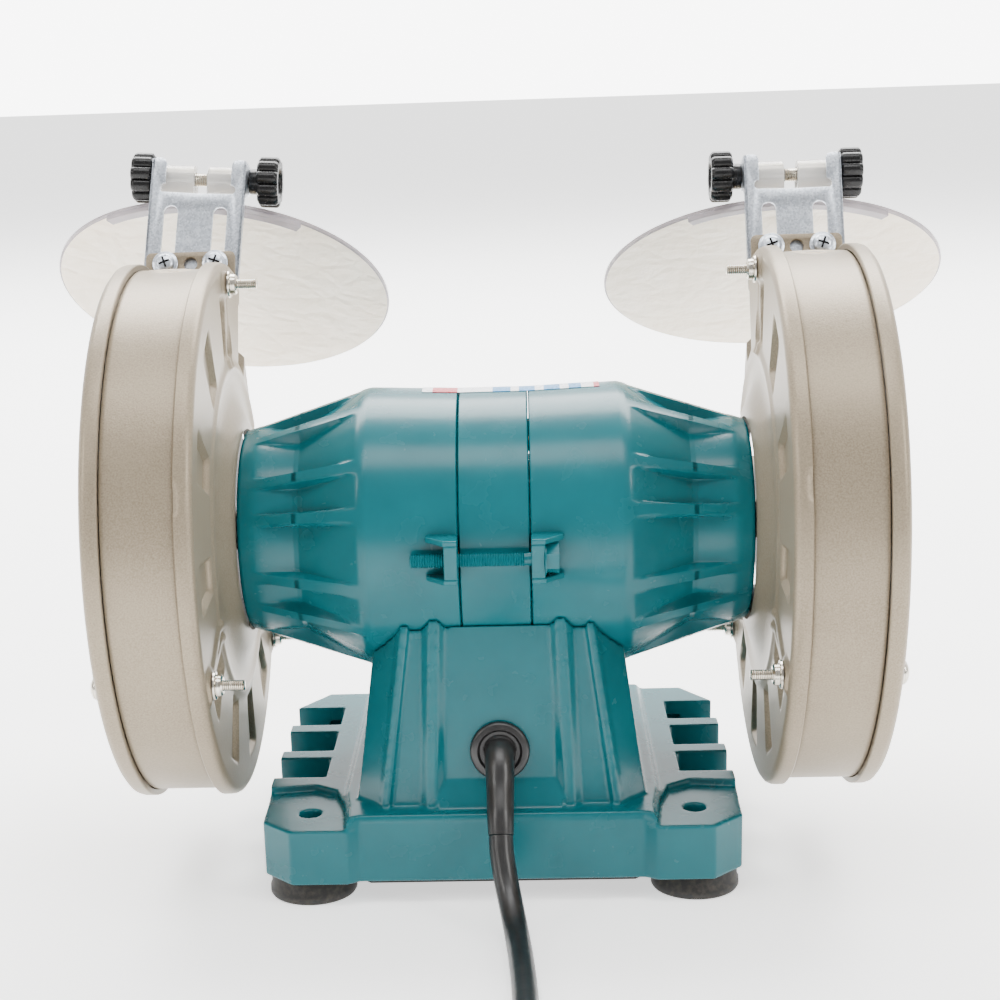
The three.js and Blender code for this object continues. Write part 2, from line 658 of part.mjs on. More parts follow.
function bracket() {
  const half = PLATE_WIDTH / 2;
  const low = PLATE_RISE - PLATE_LENGTH;
  const ear = half - EAR_WIDTH;
  const top = PIVOT_RISE + EAR_RADIUS - 1;
  const outline = mirrored([point(ear, PLATE_RISE), point(ear, top - 2), point(ear + 1.5, top),
    point(half - 1.5, top), point(half, top - 2), point(half, low + 1.5), point(half - 1.5, low)]);
  const slots = [-1, 1].map((step) => slotPath(step * TAB_HOLE_PITCH));
  const plate = prismY(shapeOf(outline, slots), PLATE_FRONT, -GAP);
  const head = arcPoints(EAR_RADIUS, 90, 270, 8).map((p) => point(p.x + PIVOT_Y, p.y + PIVOT_RISE));
  const root = -GAP - 0.2;
  const fold = PLATE_FRONT - 2.4;
  const flange = shapeOf([point(root, top - 1), ...head, point(fold, PIVOT_RISE - EAR_RADIUS - 4),
    point(fold, low + 8), point(PLATE_FRONT, low + 3), point(root, low + 3)],
  [ringPoints(PIVOT_RADIUS + GAP, SMALL, [PIVOT_Y, PIVOT_RISE])]);
  const flanges = [-1, 1].map((step) => prismX(flange, step * (half - PLATE_THICK), step * half));
  return join(plate, ...flanges);
}

function clampScrews() {
  const strip = PLATE_FRONT - GAP;
  const seat = TAB_THICK + GAP;
  const bar = block([-TAB_HOLE_PITCH - 5, TAB_HOLE_PITCH + 5], [strip - 3, strip], [-4, 4]);
  const screws = [-1, 1].flatMap((step) => {
    const x = step * TAB_HOLE_PITCH;
    return [rodY(2.4, strip - 6, seat + 1, x), rodY(5.6, seat, seat + 1.1, x, 0, 14),
      rodY(4.4, seat + 0.9, seat + 3.4, x, 0, 12)];
  });
  return join(bar, ...screws);
}

// Drawn about the pivot: x along the pivot, the sheet reaches forward to -y.
function eyeShield() {
  const centre = SHIELD_BEHIND - SHIELD_RADIUS;
  const low = -SHIELD_DROP - SHIELD_THICK / 2;
  const high = low + SHIELD_THICK;
  const disc = rodZ(SHIELD_RADIUS, low, high, 0, centre, 64);
  const rimFrom = 90 - RIM_HALF_ANGLE;
  const rimTo = 90 + RIM_HALF_ANGLE;
  const rimOutline = [...arcPoints(SHIELD_RADIUS - 0.4, rimFrom, rimTo, 12),
    ...arcPoints(SHIELD_RADIUS - RIM_WIDTH, rimTo, rimFrom, 12)];
  const clear = PLATE_WIDTH / 2 + KNOB_HUB + KNOB_THICK + 3;
  const rimWhole = prismZ(shapeOf(rimOutline), low - RIM_RISE, low + 0.5).translate(0, centre, 0);
  const outer = KNUCKLE_SPACE / 2 + KNUCKLE_WIDTH;
  const knuckles = [-1, 1].flatMap((step) => {
    const inner = step * (KNUCKLE_SPACE / 2);
    const far = step * outer;
    const arm = shapeOf([point(-KNUCKLE_RADIUS + 0.2, 0), point(KNUCKLE_RADIUS - 0.2, 0),
      point(1.8, high - 0.5), point(-KNUCKLE_RADIUS - 5, high - 0.5)]);
    return [rodX(KNUCKLE_RADIUS, inner, far, 0, 0, 14), prismX(arm, inner, far)];
  });
  const body = join(disc, rimWhole, ...knuckles);
  return cut(body, rodX(PIVOT_RADIUS + GAP, -clear, clear));
}

function pivotBolt(side) {
  const outer = PLATE_WIDTH / 2 + GAP + KNOB_THICK - 2;
  const inner = PLATE_WIDTH / 2 + GAP + KNOB_HUB + KNOB_THICK - 3;
  return rodX(PIVOT_RADIUS, -side * inner, side * outer);
}

function knob(side, hub) {
  const start = PLATE_WIDTH / 2 + GAP;
  const grip = start + hub;
  const lobes = Array.from({ length: KNOB_LOBES * 4 }, (_, i) => {
    const wave = Math.pow(Math.abs(Math.sin((Math.PI * i) / 4)), 0.7);
    return polar(KNOB_RADIUS - 1.6 + 1.6 * wave, (360 * i) / (KNOB_LOBES * 4));
  });
  const pieces = [prismX(shapeOf(lobes), side * grip, side * (grip + KNOB_THICK))];
  if (hub > 0) pieces.push(rodX(KNOB_HUB_RADIUS, side * start, side * (grip + 1), 0, 0, 12));
  const bore = rodX(PIVOT_RADIUS + GAP, side * (start - 2), side * (grip + KNOB_THICK - 2 + GAP));
  return cut(join(...pieces), bore);
}

function addShields() {
  const clampSpot = polar(CLAMP_RADIUS, OPENING_TOP);
  for (const [name, side] of SIDES) {
    const clamp = new THREE.Group();
    clamp.position.set(side * BAND_CENTRE, clampSpot.x, clampSpot.y);
    clamp.rotation.x = rad(OPENING_TOP - 90);
    grinder.add(clamp);
    add(clamp, `bracket_screws_${name}`, clampScrews(), ZINC);
    const slide = new THREE.Group();
    slide.rotation.y = rad(SKEW[name]);
    slide.translateZ(SLIDE_UP[name]);
    clamp.add(slide);
    add(slide, `shield_bracket_${name}`, bracket(), ZINC);
    const pivot = new THREE.Group();
    pivot.position.set(0, PIVOT_Y, PIVOT_RISE);
    pivot.rotation.x = rad(SHIELD_TILT[name] - (OPENING_TOP - 90));
    slide.add(pivot);
    add(pivot, `eye_shield_${name}`, eyeShield(), CLEAR);
    add(pivot, `pivot_bolt_${name}`, pivotBolt(side), STEEL);
    add(pivot, `knob_outer_${name}`, knob(side, 0), BLACK);
    add(pivot, `knob_inner_${name}`, knob(-side, KNOB_HUB), BLACK);
  }
}

// ---------------------------------------------------------------- tool rests
function toolRest(side) {
  const arm = GUARD_FACE - GAP;
  const rear = -WHEEL_RADIUS - REST_GAP;
  const front = rear - REST_DEPTH;
  const lip = REST_TOP - REST_THICK;
  const table = block([side * (arm - REST_ARM), side * COVER_FACE], [front, rear], [lip, REST_TOP]);
  const half = REST_SLOT / 2 + BOLT_RADIUS + 4;
  const [back, ahead] = [REST_BOLT_Y + half, REST_BOLT_Y - half];
  const [above, below] = [REST_BOLT_Z + 9, REST_BOLT_Z - 9];
  const outline = [point(front + 6, lip + 1), point(rear, REST_TOP - 1), point(ahead, above),
    point(back, above), point(back, below), point(ahead, below), point(rear - 4, lip - 12),
    point(front + 6, lip - 1)];
  const slot = [-1, 1].flatMap((end) => arcPoints(BOLT_RADIUS + GAP, 90 * end, 90 * end + 180, 8)
    .map((p) => point(p.x + REST_BOLT_Y - (end * REST_SLOT) / 2, p.y + REST_BOLT_Z)));
  return join(table, prismX(shapeOf(outline, [slot]), side * (arm - REST_ARM), side * arm));
}

function restBolt(side) {
  const seat = GUARD_FACE - GAP - REST_ARM - GAP;
  const nut = GUARD_FACE + 3.4 + GAP;
  const profile = [[0, seat - 4.4], [4.6, seat - 4.4], [5.4, seat - 3.6], [5.4, seat], [BOLT_RADIUS, seat],
    [BOLT_RADIUS, nut], [5, nut], [5, nut + 3.4], [0, nut + 3.4]];
  return turned(profile, side, SMALL).translate(0, REST_BOLT_Y, REST_BOLT_Z);
}

function addToolRests() {
  for (const [name, side] of SIDES) {
    add(grinder, `tool_rest_${name}`, toolRest(side), GUARD_GREY);
    add(grinder, `tool_rest_bolt_${name}`, restBolt(side), ZINC);
  }
}

// ---------------------------------------------------------------- base
// Outlines are given for +x from the rear to the front and mirrored to -x.
const outlineOf = (pairs) => mirrored(pairs.map(([x, y]) => point(x, y)));

const PAD_CHAMFER = 12.5;
const PLATEAU_HALF = 69;
const REAR_STEP = 3;
const REAR_STEP_IN = 59.4;
const REAR_STEP_OUT = 64.5;

function plinthOutline() {
  return outlineOf([[REAR_STEP_IN, BASE_REAR - REAR_STEP], [REAR_STEP_OUT, BASE_REAR],
    [BASE_HALF - 1 - PAD_CHAMFER, BASE_REAR], [BASE_HALF - 1, BASE_REAR - PAD_CHAMFER], [BASE_HALF, 20],
    [BASE_HALF, BASE_FRONT + 22], [BASE_HALF - 14, BASE_FRONT]]);
}

function wingOutline() {
  return outlineOf([[REAR_STEP_IN, BASE_REAR - REAR_STEP], [REAR_STEP_OUT, BASE_REAR - 0.5], [67, 50],
    [72, 32], [82, 25], [BASE_HALF - 0.4, 28], [BASE_HALF, 20], [BASE_HALF, BASE_FRONT + 22],
    [BASE_HALF - 14, BASE_FRONT]]);
}

function plateauOutline(inset) {
  return outlineOf([[REAR_STEP_IN - inset / 5, BASE_REAR - REAR_STEP - inset / 5],
    [REAR_STEP_OUT - inset / 2, BASE_REAR - 0.5 - inset / 2], [PLATEAU_HALF - 2.5 - inset, 58],
    [PLATEAU_HALF - inset, 40], [PLATEAU_HALF - inset, BASE_FRONT + inset / 4]]);
}

function neckOutline(half, rear, front) {
  return outlineOf([[half - NECK_CHAMFER, rear], [half, rear - NECK_CHAMFER], [half, front + NECK_CHAMFER],
    [half - NECK_CHAMFER, front]]);
}

const neckShare = (z) => (z - NECK_TOP) / (NECK_BOTTOM - NECK_TOP);
const neckRear = (z) => THREE.MathUtils.lerp(NECK_TOP_REAR, NECK_BOTTOM_REAR, neckShare(z));
const neckHalf = (z) => THREE.MathUtils.lerp(NECK_TOP_HALF, NECK_BOTTOM_HALF, neckShare(z));

function neck(wall) {
  const top = wall > 0 ? -BELL_SHOULDER_RADIUS - wall : NECK_TOP;
  const bottom = wall > 0 ? WING_TOP - wall - 2 : NECK_BOTTOM;
  const section = (z) => ({ z, points: neckOutline(neckHalf(z) - wall, neckRear(z) - wall,
    THREE.MathUtils.lerp(NECK_TOP_FRONT, NECK_BOTTOM_FRONT, neckShare(z)) + wall) });
  return loft([section(bottom), section(top)]);
}

// Moves a piece drawn about the origin with y outwards onto the neck's rear face, at the gland.
function ontoNeck(geometry) {
  const lean = Math.atan2(NECK_BOTTOM_REAR - NECK_TOP_REAR, NECK_TOP - NECK_BOTTOM);
  return geometry.rotateX(lean).translate(0, neckRear(GLAND_Z), GLAND_Z);
}

// A raised rib down the rear face of the neck; its section is a trapezoid.
function neckRib(centreAt, foot, crown, rise) {
  const section = (z) => {
    const y = neckRear(z);
    const x = centreAt(z);
    return { z, points: [point(x - foot / 2, y - 2), point(x + foot / 2, y - 2), point(x + foot / 2, y),
      point(x + crown / 2, y + rise), point(x - crown / 2, y + rise), point(x - foot / 2, y)] };
  };
  return loft([section(PLATEAU_TOP - 0.5), section(NECK_TOP)]);
}

function neckRibs() {
  const ribs = [];
  for (const side of [-1, 1]) {
    ribs.push(neckRib((z) => side * (neckHalf(z) - NECK_CHAMFER - 2.4), 5.6, 2.6, 2.2));
    ribs.push(neckRib((z) => side * THREE.MathUtils.lerp(26.3, 29, neckShare(z)), 10.4, 3.8, 3));
  }
  return ribs;
}

const CONSOLE_HALF = 36;
const CONSOLE_BACK = [-46, -70];
const CONSOLE_TOP = [-60, -72];
const CONSOLE_FRONT = [-102, -98];
const SWITCH_WIDE = 30;
const SWITCH_HIGH = 24;
const SWITCH_DEEP = 20;
const switchTilt = Math.atan2(CONSOLE_TOP[1] - CONSOLE_FRONT[1], CONSOLE_TOP[0] - CONSOLE_FRONT[0]);

// Moves a piece drawn with z out of the console's slope onto its middle.
function ontoConsole(geometry) {
  const y = (CONSOLE_TOP[0] + CONSOLE_FRONT[0]) / 2;
  const z = (CONSOLE_TOP[1] + CONSOLE_FRONT[1]) / 2;
  return geometry.rotateX(switchTilt).translate(0, y, z);
}

function saddle() {
  const half = bellProfile(0, GAP + 0.3);
  const mirror = half.map(([radius, x]) => [radius, -x]).reverse();
  return turned([[0, -BELL_END], ...mirror, ...half, [0, BELL_END]], 1, 72);
}

function baseCasting() {
  const consoleBody = prismX(shapeOf([point(...CONSOLE_BACK), point(...CONSOLE_TOP), point(...CONSOLE_FRONT),
    point(CONSOLE_FRONT[0], WING_TOP), point(CONSOLE_BACK[0], WING_TOP)]), -CONSOLE_HALF, CONSOLE_HALF);
  const ledgeTop = -96.5;
  const ledgeFoot = PLATEAU_TOP - 0.3;
  const ledge = prismX(shapeOf([point(neckRear(ledgeTop) - 1, ledgeTop), point(neckRear(ledgeTop), ledgeTop),
    point(NECK_BOTTOM_REAR + 5, ledgeFoot), point(NECK_BOTTOM_REAR - 6, ledgeFoot)]), -26, 26);
  const body = join(prismZ(shapeOf(plinthOutline()), BASE_BOTTOM, PAD_TOP),
    prismZ(shapeOf(wingOutline()), PAD_TOP - 1, WING_TOP),
    loft([{ z: WING_TOP - 0.5, points: plateauOutline(0) }, { z: PLATEAU_TOP, points: plateauOutline(3) }]),
    neck(0), ...neckRibs(), ledge, consoleBody);
  const pockets = [-1, 1].flatMap((side) => POCKET_SPANS.map((span) =>
    block([side * POCKET_INNER, side * (BASE_HALF + 5)], span, [POCKET_FLOOR, WING_TOP + 5])));
  const roomHalf = FOOT_X - FOOT_RADIUS - BASE_WALL;
  const room = block([-roomHalf, roomHalf],
    [BASE_FRONT + BASE_WALL, BASE_REAR - REAR_STEP - BASE_WALL], [BASE_BOTTOM - 1, WING_TOP - BASE_WALL]);
  const holes = footSpots().map(([x, y]) => rodZ(HOLE_RADIUS, BASE_BOTTOM - 1, PAD_TOP + 1, x, y));
  const frontFill = WING_TOP - PAD_TOP;
  const rearHoles = holes.slice(0, 2);
  const frontHoles = holes.slice(2).map((hole) => hole.translate(0, 0, -frontFill - 2));
  const glandHole = ontoNeck(rodY(GLAND_STEM + GAP, -20, 8, 0, 0, ROUND));
  const switchHole = ontoConsole(block([-SWITCH_WIDE / 2 + 1.5, SWITCH_WIDE / 2 - 1.5],
    [-SWITCH_HIGH / 2 + 1.5, SWITCH_HIGH / 2 - 1.5], [-SWITCH_DEEP - 12, 10]));
  return cut(body, ...pockets, room, neck(BASE_WALL), saddle(), ...rearHoles, ...frontHoles,
    glandHole, switchHole);
}

const footSpots = () => [FOOT_REAR, FOOT_FRONT].flatMap((y) => [[FOOT_X, y], [-FOOT_X, y]]);

function foot() {
  const top = BASE_BOTTOM - GAP;
  const bottom = -AXIS_HEIGHT;
  const profile = closed([[HOLE_RADIUS, bottom], [FOOT_RADIUS - 0.8, bottom], [FOOT_RADIUS, bottom + 1.2],
    [FOOT_RADIUS - 1.2, top], [HOLE_RADIUS, top]]);
  const points = profile.map(([radius, z]) => point(radius, z));
  return bare(new THREE.LatheGeometry(points, ROUND).rotateX(Math.PI / 2));
}

function addBase() {
  add(grinder, "base_casting", baseCasting(), TEAL);
  const half = FOOT_X - FOOT_RADIUS - 1.5;
  const sheet = [[half - 6, BASE_REAR - REAR_STEP - 3], [half, BASE_REAR - REAR_STEP - 9],
    [half, BASE_FRONT + 9], [half - 6, BASE_FRONT + 3]];
  const hole = ringPoints(3, 12, [0, 0]);
  const bottom = BASE_BOTTOM - GAP - 1.5;
  add(grinder, "base_plate", prismZ(shapeOf(outlineOf(sheet), [hole]), bottom, bottom + 1.5), ZINC);
  footSpots().forEach(([x, y], i) => {
    const place = ["rear_right", "rear_left", "front_right", "front_left"][i];
    add(grinder, `foot_${place}`, foot(), RUBBER).position.set(x, y, 0);
  });
  const capacitor = turned([[0, -30], [14, -30], [15, -29], [15, 29], [14, 30], [0, 30]], 1, ROUND);
  add(grinder, "capacitor", capacitor.translate(0, 8, -88), CAP_GREY);
  addSwitch();
}

function addSwitch() {
  const frame = shapeOf([[1, 1], [-1, 1], [-1, -1], [1, -1]].map(([x, y]) =>
    point((x * SWITCH_WIDE) / 2, (y * SWITCH_HIGH) / 2)));
  const inner = 2 * GAP + 1.5;
  const collar = prismZ(frame, GAP, 2.4);
  const body = block([-SWITCH_WIDE / 2 + inner, SWITCH_WIDE / 2 - inner],
    [-SWITCH_HIGH / 2 + inner, SWITCH_HIGH / 2 - inner], [-SWITCH_DEEP, 1]);
  const well = block([-10, 10], [-7.4, 7.4], [-8, 5]);
  add(grinder, "switch_body", ontoConsole(cut(join(collar, body), well)), BLACK);
  const rocker = prismX(shapeOf([point(-5.6, 1.6), point(0, 2.4), point(5.6, 4.8), point(5.6, -1),
    point(2, -5), point(-2, -5), point(-5.6, -2.5)]), -9.5, 9.5);
  add(grinder, "rocker_switch", ontoConsole(rocker), BLACK);
}

// ---------------------------------------------------------------- cord
// The route's points, about the shaft: out of the gland's sleeve, down, along the floor.
const SLEEVE_END = [0, 83.5, -111.4];
const CORD_FLOOR = -AXIS_HEIGHT + CORD_RADIUS + 0.1;
const CORD_POINTS = [
  [0, 83.7, -111.7],
  [-0.2, 86.6, -116.8],
  [-0.9, 89.8, -122],
  [-1.9, 93.6, -127.4],
  [-3.1, 98.2, -132.4],
  [-4.3, 103.8, -136.8],
  [-5.4, 110.4, -140.1],
  [-6.3, 118, -142],
  [-7.1, 127, CORD_FLOOR],
  [-7.9, 140, CORD_FLOOR],
  [-8.7, 155, CORD_FLOOR],
  [-9.2, 172, CORD_FLOOR],
  [-9.4, 190, CORD_FLOOR],
  [-9.2, 206, CORD_FLOOR],
  [-8.6, 219, CORD_FLOOR],
  [-8, 231, CORD_FLOOR],
];

function gland() {
  const y = neckRear(GLAND_Z) + GAP;
  const flange = ontoNeck(rodY(GLAND_FLANGE, GAP, GAP + 3, 0, 0, ROUND));
  const stem = ontoNeck(rodY(GLAND_STEM, -BASE_WALL - 3, GAP + 1, 0, 0, ROUND));
  const spine = [[0, y + 1.4, GLAND_Z], [0, y + 5, GLAND_Z - 0.8], [0, y + 9.5, GLAND_Z - 4.4],
    [0, y + 14.5, GLAND_Z - 11.5], [0, SLEEVE_END[1] - 4, SLEEVE_END[2] + 6.93], SLEEVE_END];
  const curve = new THREE.CatmullRomCurve3(spine.map((p) => new THREE.Vector3(...p)));
  const radii = [7, 8, 7.6, 7, 6.6, 6.3, 6, 5.7, 5.5];
  return join(flange, stem, sweep(curve, radii, 12));
}

function addCord() {
  add(grinder, "cord_grommet", gland(), RUBBER);
  const curve = new THREE.CatmullRomCurve3(CORD_POINTS.map((p) => new THREE.Vector3(...p)));
  const section = shapeOf(ringPoints(CORD_RADIUS, 10));
  const tube = new THREE.ExtrudeGeometry(section, { steps: 12, bevelEnabled: false, extrudePath: curve });
  add(cordPieces, "power_cord", bare(tube), BLACK);
  const [inner, outer] = [COIL_RADIUS - COIL_HALF_WIDTH, COIL_RADIUS + COIL_HALF_WIDTH];
  const ring = closed([[inner, 0], [outer, 0], [outer, COIL_HEIGHT], [inner, COIL_HEIGHT]]);
  const coil = bare(new THREE.LatheGeometry(ring.map(([r, z]) => point(r, z)), 32).rotateX(Math.PI / 2));
  add(cordPieces, "cord_coil", coil, BLACK).position.set(COIL_CENTRE_X, COIL_CENTRE_Y, -AXIS_HEIGHT);
  addPlug();
}

// A round two-pin plug lying on the floor, drawn along +x from where the cord leaves the coil.
function addPlug() {
  const profile = [[0, 0], [5.2, 0], [6, 2], [8.5, 34], [12, 40], [PLUG_RADIUS - 0.5, 46],
    [PLUG_RADIUS - 0.1, 66], [PLUG_RADIUS - 1, 68], [0, 68]];
  const pins = [-9.5, 9.5].map((y) => rodX(2.4, 66, 87, y, 0, 8));
  const plug = join(turned(profile, -1, ROUND), ...pins.map((pin) => pin.scale(-1, 1, 1)));
  const reach = 38;
  const lay = add(cordPieces, "plug", outward(plug), BLACK);
  lay.position.set(COIL_CENTRE_X - reach, COIL_CENTRE_Y + CORD_LEAVES, -AXIS_HEIGHT + PLUG_RADIUS);
}

// ---------------------------------------------------------------- assembly
addMotor();
addWheels();
addGuards();
addShields();
addToolRests();
addBase();
addCord();

grinder.updateMatrixWorld(true);
const box = new THREE.Box3().setFromObject(grinder, true);
const middle = box.getCenter(new THREE.Vector3());
const group = new THREE.Group();
group.add(grinder, cordPieces);
group.position.set(-middle.x, -middle.y, -box.min.z);

export default group;
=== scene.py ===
import math

import bmesh
import bpy
from mathutils import Matrix, Vector


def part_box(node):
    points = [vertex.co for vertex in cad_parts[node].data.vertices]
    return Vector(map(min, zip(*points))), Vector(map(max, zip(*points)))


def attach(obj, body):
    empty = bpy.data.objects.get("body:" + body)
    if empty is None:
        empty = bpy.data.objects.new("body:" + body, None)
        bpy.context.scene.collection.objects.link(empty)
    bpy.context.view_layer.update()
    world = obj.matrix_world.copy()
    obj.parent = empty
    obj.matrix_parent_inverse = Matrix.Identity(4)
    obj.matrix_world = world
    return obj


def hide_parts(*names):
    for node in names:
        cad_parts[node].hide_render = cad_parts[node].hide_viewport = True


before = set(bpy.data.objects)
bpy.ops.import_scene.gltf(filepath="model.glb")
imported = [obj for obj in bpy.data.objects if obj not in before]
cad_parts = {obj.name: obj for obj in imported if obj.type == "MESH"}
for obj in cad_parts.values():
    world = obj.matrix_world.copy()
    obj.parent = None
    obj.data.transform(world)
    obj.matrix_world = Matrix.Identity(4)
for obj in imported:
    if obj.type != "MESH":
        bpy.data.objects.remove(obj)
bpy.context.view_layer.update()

# Bench grinder. Lengths are millimetres about the middle of the shaft until mm() turns
# them into the frame's metres: X along the shaft, Y to the rear, Z up.
SHAFT_LOW, SHAFT_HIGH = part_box("shaft")
AXIS = (SHAFT_LOW + SHAFT_HIGH) / 2
AXIS_HEIGHT = 147.8
SIDES = (("right", 1), ("left", -1))


def mm(x, y, z):
    return AXIS + Vector((x, y, z)) / 1000


def polar(radius, degrees):
    return radius * math.cos(math.radians(degrees)), radius * math.sin(math.radians(degrees))


def smooth(low, high, value):
    share = min(1.0, max(0.0, (value - low) / (high - low)))
    return share * share * (3 - 2 * share)


def mix(a, b, share):
    return a + (b - a) * share


# ------------------------------------------------------------------ camera
CAMERA_SPOT = (-13.9, 799.2, 181.3)
CAMERA_YAW = math.radians(-2.63)
CAMERA_PITCH = math.radians(16.33)
CAMERA_ROLL = math.radians(-1.94)
SENSOR_WIDTH = 36
LENS = 67.7
SHIFT = (0.052, 0.142)


def add_camera():
    data = bpy.data.cameras.new("camera")
    data.sensor_width = SENSOR_WIDTH
    data.lens = LENS
    data.shift_x, data.shift_y = SHIFT
    data.clip_start = 0.05
    right = Vector((math.cos(CAMERA_YAW), math.sin(CAMERA_YAW), 0))
    ahead = Vector((math.sin(CAMERA_YAW), -math.cos(CAMERA_YAW), 0))
    up = Vector((0, 0, 1))
    ahead, up = (math.cos(CAMERA_PITCH) * ahead - math.sin(CAMERA_PITCH) * up,
                 math.sin(CAMERA_PITCH) * ahead + math.cos(CAMERA_PITCH) * up)
    right, up = (math.cos(CAMERA_ROLL) * right + math.sin(CAMERA_ROLL) * up,
                 -math.sin(CAMERA_ROLL) * right + math.cos(CAMERA_ROLL) * up)
    columns = [Vector((-v.x, v.y, v.z)) for v in (right, up, -ahead)]
    turn = Matrix(columns).transposed().to_4x4()
    camera = bpy.data.objects.new("camera", data)
    camera.matrix_world = Matrix.Translation(mm(*CAMERA_SPOT)) @ turn
    bpy.context.scene.collection.objects.link(camera)
    bpy.context.scene.camera = camera


# ------------------------------------------------------------------ materials
class Nodes:
    """A material's node tree with short names for what the finishes below use."""

    def __init__(self, name):
        self.material = bpy.data.materials.new(name)
        self.material.use_nodes = True
        self.tree = self.material.node_tree
        self.shader = self.tree.nodes["Principled BSDF"]
        self.place = self.tree.nodes.new("ShaderNodeTexCoord").outputs["Object"]

    def link(self, a, b):
        self.tree.links.new(a, b)

    def noise(self, scale, detail=3.0, stretch=None):
        node = self.tree.nodes.new("ShaderNodeTexNoise")
        node.inputs["Scale"].default_value = scale
        node.inputs["Detail"].default_value = detail
        source = self.place
        if stretch:
            mapping = self.tree.nodes.new("ShaderNodeMapping")
            mapping.inputs["Scale"].default_value = stretch
            self.link(self.place, mapping.inputs["Vector"])
            source = mapping.outputs["Vector"]
        self.link(source, node.inputs["Vector"])
        return node.outputs["Fac"]

    def cells(self, scale, feature="F1"):
        node = self.tree.nodes.new("ShaderNodeTexVoronoi")
        node.feature = feature
        node.inputs["Scale"].default_value = scale
        self.link(self.place, node.inputs["Vector"])
        return node

    def ramp(self, value, *stops):
        node = self.tree.nodes.new("ShaderNodeValToRGB")
        elements = node.color_ramp.elements
        while len(elements) < len(stops):
            elements.new(0.5)
        for element, (spot, color) in zip(elements, stops):
            element.position = spot
            element.color = (*color, 1) if len(color) == 3 else color
        self.link(value, node.inputs["Fac"])
        return node.outputs["Color"]

    def span(self, value, low, high):
        node = self.tree.nodes.new("ShaderNodeMapRange")
        node.inputs["To Min"].default_value = low
        node.inputs["To Max"].default_value = high
        self.link(value, node.inputs["Value"])
        return node.outputs["Result"]

    def blend(self, share, a, b):
        node = self.tree.nodes.new("ShaderNodeMix")
        node.data_type = "RGBA"
        self.link(share, node.inputs["Factor"])
        for socket, value in zip((node.inputs[6], node.inputs[7]), (a, b)):
            if isinstance(value, tuple):
                socket.default_value = (*value, 1)
            else:
                self.link(value, socket)
        return node.outputs[2]

    def color(self, socket):
        self.link(socket, self.shader.inputs["Base Color"])

    def tone(self, value, low, high):
        """The base colour, running from one tone to the other over a noise's middle."""
        self.color(self.ramp(value, (0.3, low), (0.7, high)))

    def rough(self, socket):
        self.link(socket, self.shader.inputs["Roughness"])

    def bump(self, height, distance, strength=1.0):
        node = self.tree.nodes.new("ShaderNodeBump")
        node.inputs["Distance"].default_value = distance
        node.inputs["Strength"].default_value = strength
        self.link(height, node.inputs["Height"])
        previous = self.shader.inputs["Normal"].links
        if previous:
            self.link(previous[0].from_socket, node.inputs["Normal"])
        self.link(node.outputs["Normal"], self.shader.inputs["Normal"])

    def set(self, **values):
        for name, value in values.items():
            self.shader.inputs[name.replace("_", " ")].default_value = value
        return self.material


def enamel():
    n = Nodes("teal_enamel")
    n.tone(n.noise(38, 4), (0.001, 0.088, 0.106), (0.0015, 0.104, 0.124))
    n.rough(n.span(n.noise(90, 3), 0.20, 0.32))
    n.bump(n.noise(520, 2), 0.00008, 0.35)
    n.bump(n.noise(120, 2), 0.0002, 0.16)
    return n.set(Coat_Weight=0.08, Coat_Roughness=0.12, Specular_IOR_Level=0.26)


def guard_paint():
    n = Nodes("hammered_guard_paint")
    speck = n.noise(1500, 2)
    tone = n.ramp(n.noise(26, 3), (0.3, (0.200, 0.160, 0.108)), (0.7, (0.240, 0.194, 0.134)))
    n.color(n.blend(n.span(speck, -0.35, 0.95), tone, (0.36, 0.30, 0.22)))
    n.rough(n.span(speck, 0.30, 0.46))
    n.bump(speck, 0.00012, 0.5)
    n.bump(n.noise(260, 2), 0.0003, 0.18)
    return n.set(Metallic=0.4, Specular_IOR_Level=0.35)


def zinc():
    n = Nodes("zinc_spangle")
    grain = n.cells(1300)
    n.color(n.ramp(grain.outputs["Color"], (0.1, (0.42, 0.46, 0.52)), (0.9, (0.72, 0.76, 0.82))))
    n.rough(n.span(n.noise(300, 3), 0.22, 0.42))
    n.bump(n.noise(900, 2), 0.00006, 0.6)
    return n.set(Metallic=0.9)


def bright_steel(name, low, high, rough=0.25):
    n = Nodes(name)
    lines = n.noise(60, 3, (40, 1, 1))
    n.tone(lines, low, high)
    n.rough(n.span(lines, rough - 0.06, rough + 0.1))
    n.bump(lines, 0.00004, 0.4)
    return n.set(Metallic=1.0)


def black_plastic():
    n = Nodes("black_plastic")
    n.tone(n.noise(200, 3), (0.004, 0.004, 0.0045), (0.008, 0.0075, 0.0075))
    n.rough(n.span(n.noise(340, 3), 0.20, 0.36))
    n.bump(n.noise(800, 2), 0.00005, 0.5)
    return n.set(Specular_IOR_Level=0.3)


def rubber():
    n = Nodes("dusty_rubber")
    dust = n.noise(420, 4)
    n.color(n.ramp(dust, (0.42, (0.010, 0.009, 0.008)), (0.78, (0.050, 0.042, 0.034))))
    n.rough(n.span(dust, 0.42, 0.75))
    n.bump(dust, 0.00015, 0.5)
    return n.set(Specular_IOR_Level=0.45)


def cord_jacket():
    n = Nodes("cord_jacket")
    n.tone(n.noise(160, 3), (0.008, 0.008, 0.0085), (0.017, 0.016, 0.016))
    n.rough(n.span(n.noise(220, 3), 0.26, 0.42))
    n.bump(n.noise(500, 2), 0.00008, 0.4)
    return n.set(Specular_IOR_Level=0.5)


